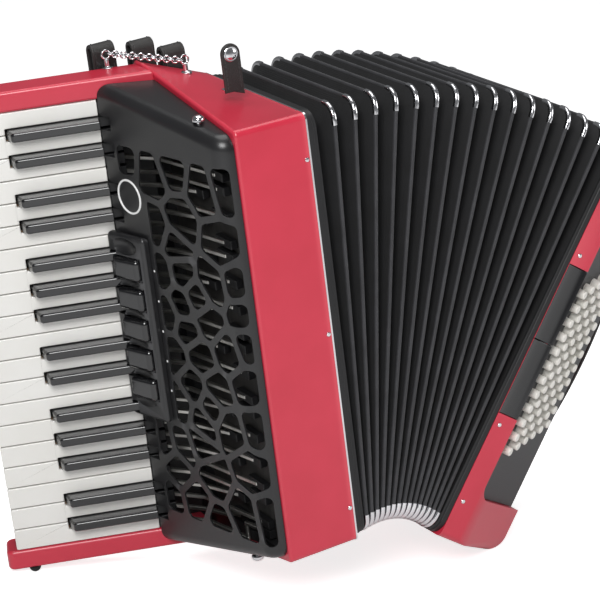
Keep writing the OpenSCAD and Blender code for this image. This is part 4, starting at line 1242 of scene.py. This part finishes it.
def recessSide(s):
    # free half-corner of the recess at a distance along the board
    x = body["stripWidth"] + s * math.cos(math.radians(boardTurn))
    away = max(0, bass["recessCorner"] - (x - body["stripWidth"]))
    return bass["recessCorner"] - math.sqrt(max(0, bass["recessCorner"] ** 2 - away ** 2))


ends = [1, 2, 3.5, 5.5, 8, 11, 14.5, 20, 40, 60, 80, boardRun.length - 2]
low = body["bassEnd"] + board["clear"]
outline = [Vector((s, low + recessSide(s))) for s in ends]
outline += [Vector((s, body["caseLength"] - low - recessSide(s))) for s in reversed(ends)]
buttonPlaces = [(board["firstRow"] + j * board["rowPitch"],
                 board["firstButton"] + j * board["rowShift"] + i * board["buttonPitch"])
                for j in range(board["rowCount"]) for i in range(board["perRow"])]
rim = [Vector(p) for p in circlePoints(board["buttonRadius"] + board["holeSpare"], 24)]
holes = [[Vector(place) + p for p in rim] for place in buttonPlaces]
mesh = bmesh.new()
perforated(mesh, refine(outline, 8), holes, [], lambda p: (p[0], -board["under"], p[1]))
plate = makePiece("bassBoard", mesh, boardFrame, "bass", "boardGrey", ["bass_board"], angle=35)
sheet = plate.modifiers.new("thickness", "SOLIDIFY")
sheet.thickness = board["thick"] / 1000
sheet.offset = -1
soften(plate, 0.25, 2, 60)
mesh = bmesh.new()
profile = [(1.2, -12), (1.2, -1), (3.5, -1), (3.7, -0.8), (3.7, 8.9), (3.6, 9.35), (3.3, 9.68), (2.8, 9.84),
           (2.0, 9.89), (0.05, 9.9)]
for s, z in buttonPlaces:
    addAt(mesh, moveBy(s, 0, z) @ turnAbout("X", 90), lambda part: addTurned(part, profile, 24))
makePiece("bassButtons", mesh, boardFrame, "buttons", "buttonWhite", ["bass_buttons"],
          angle=40, merge=0)
print("bass case done")

# The straps
straps = {"thick": 3.0, "stitch": 5.0, "stitchHalf": 1.5, "stitchEdge": 2.6, "thread": 0.45,
          "handWidth": 59, "handDepth": 122, "handLow": 22, "handRun": 314, "handBow": 29, "handStand": 0.2,
          "loopX": (-82, -50, -24), "loopWidth": 20, "loopRadius": 5.0, "loopDrop": 22, "loopRise": 18,
          "cornerTop": 382}


def addBand(mesh, path, side, wide, thick, ring=False, slot=0):
    # leather band along a path; side is the direction of its width
    count = len(path)
    points = [Vector(p) for p in path]
    side = Vector(side).normalized()
    loops = []
    section = roundedLoop([(-wide / 2, -thick / 2), (wide / 2, -thick / 2), (wide / 2, thick / 2),
                           (-wide / 2, thick / 2)], thick * 0.35, 3)
    for i, p in enumerate(points):
        ahead = points[(i + 1) % count] if ring or i < count - 1 else p
        behind = points[i - 1] if ring or i > 0 else p
        up = (ahead - behind).normalized().cross(side).normalized()
        loops.append([p + side * a + up * b for a, b in section])
    addLoft(mesh, loops, ring=ring, slot=slot)


def addStitches(mesh, path, side, wide, thick, slot=1, ring=False):
    # short threads along both edges of a band
    points = [Vector(p) for p in path] + ([Vector(path[0])] if ring else [])
    side = Vector(side).normalized()
    run, due, half = 0.0, straps["stitch"], straps["stitchHalf"]
    for a, b in zip(points, points[1:]):
        u = (b - a).normalized()
        up = u.cross(side).normalized()
        while run + (b - a).length > due:
            p = a + u * (due - run)
            for edge in (-1, 1):
                q = p + side * edge * (wide / 2 - straps["stitchEdge"]) + up * (thick / 2 - 0.12)
                long, short, crown = u * half, u * half * 0.6, up * 0.1
                addTube(mesh, [q - long, q - short + crown, q + short + crown, q + long], straps["thread"],
                        6, slot)
            due += straps["stitch"]
        run += (b - a).length


mesh = bmesh.new()
path = []
thick, foot = straps["thick"] * 0.96, bassEdge + straps["handStand"] + straps["thick"] / 2
for i in range(49):
    t = i / 48
    path.append((foot + straps["handBow"] * math.sin(math.pi * t) ** 0.8, straps["handDepth"],
                 straps["handLow"] + straps["handRun"] * t))
addBand(mesh, path, (0, 1, 0), straps["handWidth"], thick)
addStitches(mesh, path[1:-1], (0, -1, 0), straps["handWidth"], thick)
makePiece("handStrap", mesh, bassFrame, "bass", ["strapLeather", "strapThread"],
          ["hand_strap"], angle=40, merge=0)

mesh = bmesh.new()
radius, turn = straps["loopRadius"], straps["loopRadius"] + straps["thick"] / 2
for x in straps["loopX"]:
    onCheek = x < -body["frontWidth"]
    middleY = body["caseDepth"] + 0.2 + turn + (4.8 if onCheek else 0)
    backTop = straps["cornerTop"] if onCheek else (
        body["caseLength"] + body["shoulder"] * -x / body["frontWidth"])
    low, high = backTop - straps["loopDrop"] + turn, backTop + straps["loopRise"] - turn
    path = [(x, middleY + radius, low + (high - low) * i / 6) for i in range(7)]
    path += [(x, middleY + radius * math.cos(a), high + radius * math.sin(a)) for a in
             (math.pi * i / 10 for i in range(1, 10))]
    path += [(x, middleY - radius, high + (low - high) * i / 6) for i in range(7)]
    path += [(x, middleY + radius * math.cos(a), low + radius * math.sin(a)) for a in
             (math.pi + math.pi * i / 10 for i in range(1, 10))]
    addBand(mesh, path, (1, 0, 0), straps["loopWidth"], straps["thick"], ring=True)
    addStitches(mesh, path, (1, 0, 0), straps["loopWidth"], straps["thick"], ring=True)
makePiece("strapLoops", mesh, caseFrame, "treble", ["strapLeather", "strapThread"],
          ["strap_loops"], angle=40, merge=0)


def topAt(x, y):
    return body["caseLength"] + body["shoulder"] * min(-x / body["frontWidth"], y / body["shoulderY"])


# short straps that hold the bellows shut, one above and one below, each with a snap
tongue = {"middle": -26, "half": 8, "y": (62, 65), "above": 38, "below": 19, "lift": 0.15, "stand": 0.2,
          "seamIn": 2.4, "seamStart": 2, "seamPitch": 3.4, "seamThread": 0.35, "keeper": 6,
          "keeperThick": 1.5}
snapProfile = [(6, 0), (6, 0.5), (5.6, 0.8), (4.9, 0.7), (4.4, 0.8), (3.2, 1.3), (1.6, 1.5), (0.05, 1.5)]
middle, half, (near, far) = tongue["middle"], tongue["half"], tongue["y"]
left, right, seam = middle - half, middle + half, half - tongue["seamIn"]
tongueTop = topAt(left, far) + tongue["stand"]
mesh = bmesh.new()
snaps = bmesh.new()
for high, mirror in ((tongue["above"], 1), (tongue["below"], -1)):
    origin = tongueTop if mirror == 1 else body["caseLength"] - tongueTop
    bend = high - half
    loop = [(x, topAt(x, far) + tongue["lift"] - tongueTop) for x in (left, -27, -22, right)]
    loop += [(middle + half * math.cos(a), bend + half * math.sin(a)) for a in
             (math.pi * i / 16 for i in range(17))]
    loop = [(x, origin + z * mirror) for x, z in loop]
    addPrism(mesh, loop, near, far, 0.8, axis="y", steps=3)
    inner = [(middle - seam, tongue["seamStart"]), (middle - seam, bend)]
    inner += [(middle - seam * math.cos(a), bend + seam * math.sin(a)) for a in
              (math.pi * i / 12 for i in range(13))]
    inner += [(middle + seam, bend), (middle + seam, tongue["seamStart"])]
    for (ax, az), (bx, bz) in zip(inner, inner[1:]):
        a, b = Vector((ax, 0, az)), Vector((bx, 0, bz))
        count = max(1, int((b - a).length / tongue["seamPitch"]))
        for j in range(count):
            c, d = a.lerp(b, (j + 0.15) / count), a.lerp(b, (j + 0.85) / count)
            addTube(mesh, [(p.x, near + 0.05, origin + p.z * mirror) for p in (c, d)], tongue["seamThread"],
                    6, 1)
    addAt(snaps, moveBy(middle, near, origin + bend * mirror) @ turnAbout("X", 90),
          lambda part: addTurned(part, snapProfile, 32))
makePiece("bellowsStraps", mesh, caseFrame, "treble", ["strapLeather", "strapThread"],
          ["bellows_straps"], angle=40, merge=0)
keeperBack = far + tongue["keeper"]
keeperZ = topAt(left, keeperBack) + tongue["stand"]
plan = roundedLoop([(left, far), (right, far), (right, keeperBack), (left, keeperBack)], 1.2, 4)
addPrism(snaps, plan, keeperZ, keeperZ + tongue["keeperThick"], 0.5)
makePiece("strapSnaps", snaps, caseFrame, "treble", "brightMetal", ["strap_snaps"], angle=35)
print("straps done")

# Metal fittings, feet and small buttons
fittings = {"eyes": ((-84, 166), (-28, 142)), "eyeHigh": 11, "ring": 3.4, "wire": 0.85, "linkRadius": 2.6,
            "linkWire": 0.7, "linkOut": 1.0, "linkPitch": 7.2, "caseRow": -4, "casePins": (30, 179, 322),
            "bassRow": 6, "bassPins": (34, 103, 255, 322), "coverScrew": (-71, 40), "footY": (192, 208),
            "footIn": 14, "footZ": -24, "footRadius": 5, "wheel": (74, 122, 0.4), "wheelRadius": 9,
            "wheelNotch": 0.75, "airButton": (96, 74, 292)}
pinProfile = [(1.8, 0.02), (1.8, 0.5), (1.5, 0.85), (0.8, 0.98), (0.05, 1.0)]
screwProfile = [(1.95, -2.5), (1.95, 1.5), (4.4, 1.5), (5, 2.2), (5, 3.4), (4.6, 4.6), (3.4, 5.7), (1.8, 6.3),
                (0.05, 6.5)]
airProfile = [(2.9, -9), (2.9, 4.4), (6.6, 4.4), (7, 4.8), (7, 8.2), (6.6, 9), (5, 9.35), (0.05, 9.4)]


def addRing(part, radius, wire, steps=28, sides=12):
    addTube(part, [(radius * math.cos(a), radius * math.sin(a), 0) for a in
                   (2 * math.pi * i / steps for i in range(steps))], wire, sides, ring=True)


def eyeProfile(start):
    return [(0.05, start), (4.3, start), (4.5, start + 0.2), (4.5, 0.6), (4.1, 1.0), (2.6, 1.3), (2.0, 2.0),
            (2.0, 7.4), (1.6, 8.0)]


cheekEye, caseEye = fittings["eyes"]
eyes = [Vector((*cheekEye, straps["cornerTop"])), Vector((*caseEye, topAt(*caseEye)))]
eyeHigh, ring = fittings["eyeHigh"], fittings["ring"]
mesh = bmesh.new()
for place, start in zip(eyes, (0.02, -1.0)):
    addAt(mesh, moveBy(*place), lambda part: addTurned(part, eyeProfile(start), 28))
    addAt(mesh, moveBy(*place) @ moveBy(0, 0, eyeHigh) @ turnAbout("X", 90),
          lambda part: addRing(part, ring, fittings["wire"]))
makePiece("strapEyes", mesh, caseFrame, "treble", "brightMetal", ["strap_brackets"], angle=40)
chainStart, chainEnd = eyes[0] + Vector((ring, 0, eyeHigh)), eyes[1] + Vector((-ring, 0, eyeHigh))
out = (chainEnd - chainStart).normalized() * fittings["linkOut"]
chainStart, chainEnd = chainStart + out, chainEnd - out
run = chainEnd - chainStart
links = 2 * math.ceil(run.length / fittings["linkPitch"])
mesh = bmesh.new()
heading = run.to_track_quat("X", "Z").to_matrix().to_4x4()
for i in range(links + 1):
    place = Matrix.Translation(chainStart + run * i / links) @ heading @ turnAbout("X", i % 2 * 90)
    addAt(mesh, place, lambda part: addRing(part, fittings["linkRadius"], fittings["linkWire"], 20, 8))
makePiece("strapChain", mesh, caseFrame, "treble", "brightMetal", ["strap_chain"], angle=50)


def addPins(mesh, x, z):
    # one pin in the front of a case and one in its back
    for y, turn in ((0, 90), (body["caseDepth"], -90)):
        addAt(mesh, moveBy(x, y, z) @ turnAbout("X", turn), lambda part: addTurned(part, pinProfile, 20))


mesh = bmesh.new()
for z in fittings["casePins"]:
    addPins(mesh, fittings["caseRow"], z)
screwX, screwY = fittings["coverScrew"]
for up, turn in ((True, 0), (False, 180)):
    addAt(mesh, moveBy(screwX, screwY, coverTop(screwY, up)) @ turnAbout("X", turn),
          lambda part: addTurned(part, screwProfile, 32))
makePiece("trebleFasteners", mesh, caseFrame, "treble", "brightMetal", ["treble_fasteners"],
          angle=35)
mesh = bmesh.new()
for z in fittings["bassPins"]:
    addPins(mesh, fittings["bassRow"], z)
makePiece("bassFasteners", mesh, bassFrame, "bass", "brightMetal", ["bass_fasteners"],
          angle=35)

mesh = bmesh.new()
footX, radius = keyPoint(body["whiteLength"] - fittings["footIn"], 0).x, fittings["footRadius"]
footProfile = [(radius * math.cos(a), radius * math.sin(a)) for a in (math.pi / 2 * i / 8 for i in range(8))]
footProfile.append((0.05, radius))
for y in fittings["footY"]:
    addAt(mesh, moveBy(footX, y, fittings["footZ"]) @ turnAbout("X", 180),
          lambda part: addTurned(part, footProfile, 28))
makePiece("keyboardFeet", mesh, caseFrame, "treble", "footRubber", ["keyboard_feet"], angle=50)

mesh = bmesh.new()
loops = []
for z, inset in ((0, 0.5), (0.4, 0), (4.5, 0), (5, 0.6)):
    loop = []
    for i in range(96):
        radius = fittings["wheelRadius"] - (fittings["wheelNotch"] if i % 4 in (1, 2) else 0) - inset
        turn = 2 * math.pi * i / 96
        loop.append((radius * math.cos(turn), radius * math.sin(turn), z))
    loops.append(loop)
addLoft(mesh, loops)
x, y, gap = fittings["wheel"]
bmesh.ops.transform(mesh, matrix=moveBy(x, y, body["caseLength"] + gap), verts=mesh.verts)
makePiece("strapWheel", mesh, bassFrame, "wheel", "brightMetal", ["strap_wheel"], angle=30)
mesh = bmesh.new()
addAt(mesh, moveBy(*fittings["airButton"]) @ turnAbout("Y", 90),
      lambda part: addTurned(part, airProfile, 32))
makePiece("airButton", mesh, bassFrame, "air", "buttonWhite", ["air_button"], angle=40)
print("fittings done")

# Inner parts that stay as they are in the frame, with a finish
# the soundboard's dark finish is painted shade under the grille
for node, finish in (("key_felt", "feltRed"), ("key_axle", "brightMetal"), ("treble_soundboard", "shadedInnerWood"),
                     ("treble_reed_blocks", "bareWood"), ("treble_reed_plates", "paleMetal"),
                     ("bass_reed_block", "bareWood")):
    setFinish(node, finish)

# The floor, the lamps and the world
stage = {"floor": 40.0, "glow": 0.78, "floorTone": (0.90, 0.90, 0.90), "floorShade": (0.88, 0.88, 0.88),
         "speckle": 30, "air": (0.9, 0.92, 0.95), "airStrength": 0.16}
bpy.ops.mesh.primitive_plane_add(size=stage["floor"])
floor = bpy.context.object
floor.name = "floor"
floorFinish = bpy.data.materials.new("paleFloor")
floorFinish.use_nodes = True
nodes, links = floorFinish.node_tree.nodes, floorFinish.node_tree.links
surface = nodes["Principled BSDF"]
surface.inputs["Roughness"].default_value = 0.9
speckle = nodes.new("ShaderNodeTexNoise")
speckle.inputs["Scale"].default_value = stage["speckle"]
tone = nodes.new("ShaderNodeMix")
tone.data_type = "RGBA"
tone.inputs["A"].default_value = (*stage["floorShade"], 1)
tone.inputs["B"].default_value = (*stage["floorTone"], 1)
links.new(speckle.outputs["Fac"], tone.inputs["Factor"])
links.new(tone.outputs["Result"], surface.inputs["Base Color"])
seen = nodes.new("ShaderNodeLightPath")
glow = nodes.new("ShaderNodeMath")
glow.operation = "MULTIPLY"
glow.inputs[1].default_value = stage["glow"]
links.new(seen.outputs["Is Camera Ray"], glow.inputs[0])
surface.inputs["Emission Color"].default_value = (1, 1, 1, 1)
links.new(glow.outputs[0], surface.inputs["Emission Strength"])
floor.data.materials.append(floorFinish)


def addLight(name, place, target, size, power):
    light = bpy.data.lights.new(name, "AREA")
    light.shape = "RECTANGLE"
    light.size, light.size_y = size
    light.energy = power
    lamp = bpy.data.objects.new(name, light)
    bpy.context.scene.collection.objects.link(lamp)
    lamp.location = place
    lamp.rotation_euler = (Vector(target) - Vector(place)).to_track_quat("-Z", "Y").to_euler()


lights = {
    "keyLight": dict(place=(-1.1, -1.4, 1.5), target=(0, 0, 0.22), size=(0.9, 0.9), power=36),
    "fillLight": dict(place=(1.6, -1.2, 0.9), target=(0, 0, 0.22), size=(1.0, 1.0), power=11),
    "topLight": dict(place=(0.0, 0.2, 1.9), target=(0, 0, 0.2), size=(1.2, 1.2), power=13),
}
for name, values in lights.items():
    addLight(name, **values)

world = bpy.data.worlds.new("studio")
bpy.context.scene.world = world
world.use_nodes = True
nodes, links = world.node_tree.nodes, world.node_tree.links
nodes.clear()
soft, white = nodes.new("ShaderNodeBackground"), nodes.new("ShaderNodeBackground")
soft.inputs["Color"].default_value = (*stage["air"], 1)
soft.inputs["Strength"].default_value = stage["airStrength"]
white.inputs["Color"].default_value = (1, 1, 1, 1)
white.inputs["Strength"].default_value = 1.0
path, choose = nodes.new("ShaderNodeLightPath"), nodes.new("ShaderNodeMixShader")
end = nodes.new("ShaderNodeOutputWorld")
links.new(path.outputs["Is Camera Ray"], choose.inputs["Fac"])
links.new(soft.outputs["Background"], choose.inputs[1])
links.new(white.outputs["Background"], choose.inputs[2])
links.new(choose.outputs["Shader"], end.inputs["Surface"])
bpy.context.scene.view_settings.view_transform = "Standard"

# The camera
# the camera's place and directions in the case's own millimetres, before its lean
view = {"place": (-924.9, -1786.5, 961.7), "right": (0.8663, -0.4856, -0.1174),
        "down": (-0.2682, -0.2540, -0.9293), "lens": 166.85}
camera = bpy.data.objects.new("camera", bpy.data.cameras.new("camera"))
bpy.context.scene.collection.objects.link(camera)
right = Vector(view["right"]).normalized()
up = -Vector(view["down"])
up = (up - right * up.dot(right)).normalized()
back = right.cross(up)
basis = Matrix((right, up, back)).transposed().to_4x4()
stand = Matrix.Translation(caseFrame @ Vector(view["place"]))
camera.matrix_world = stand @ Matrix.Rotation(-lean, 4, "Y") @ basis
camera.data.lens = view["lens"]
camera.data.sensor_width = 36
camera.data.clip_end = 50
bpy.context.scene.camera = camera
print("stage done")
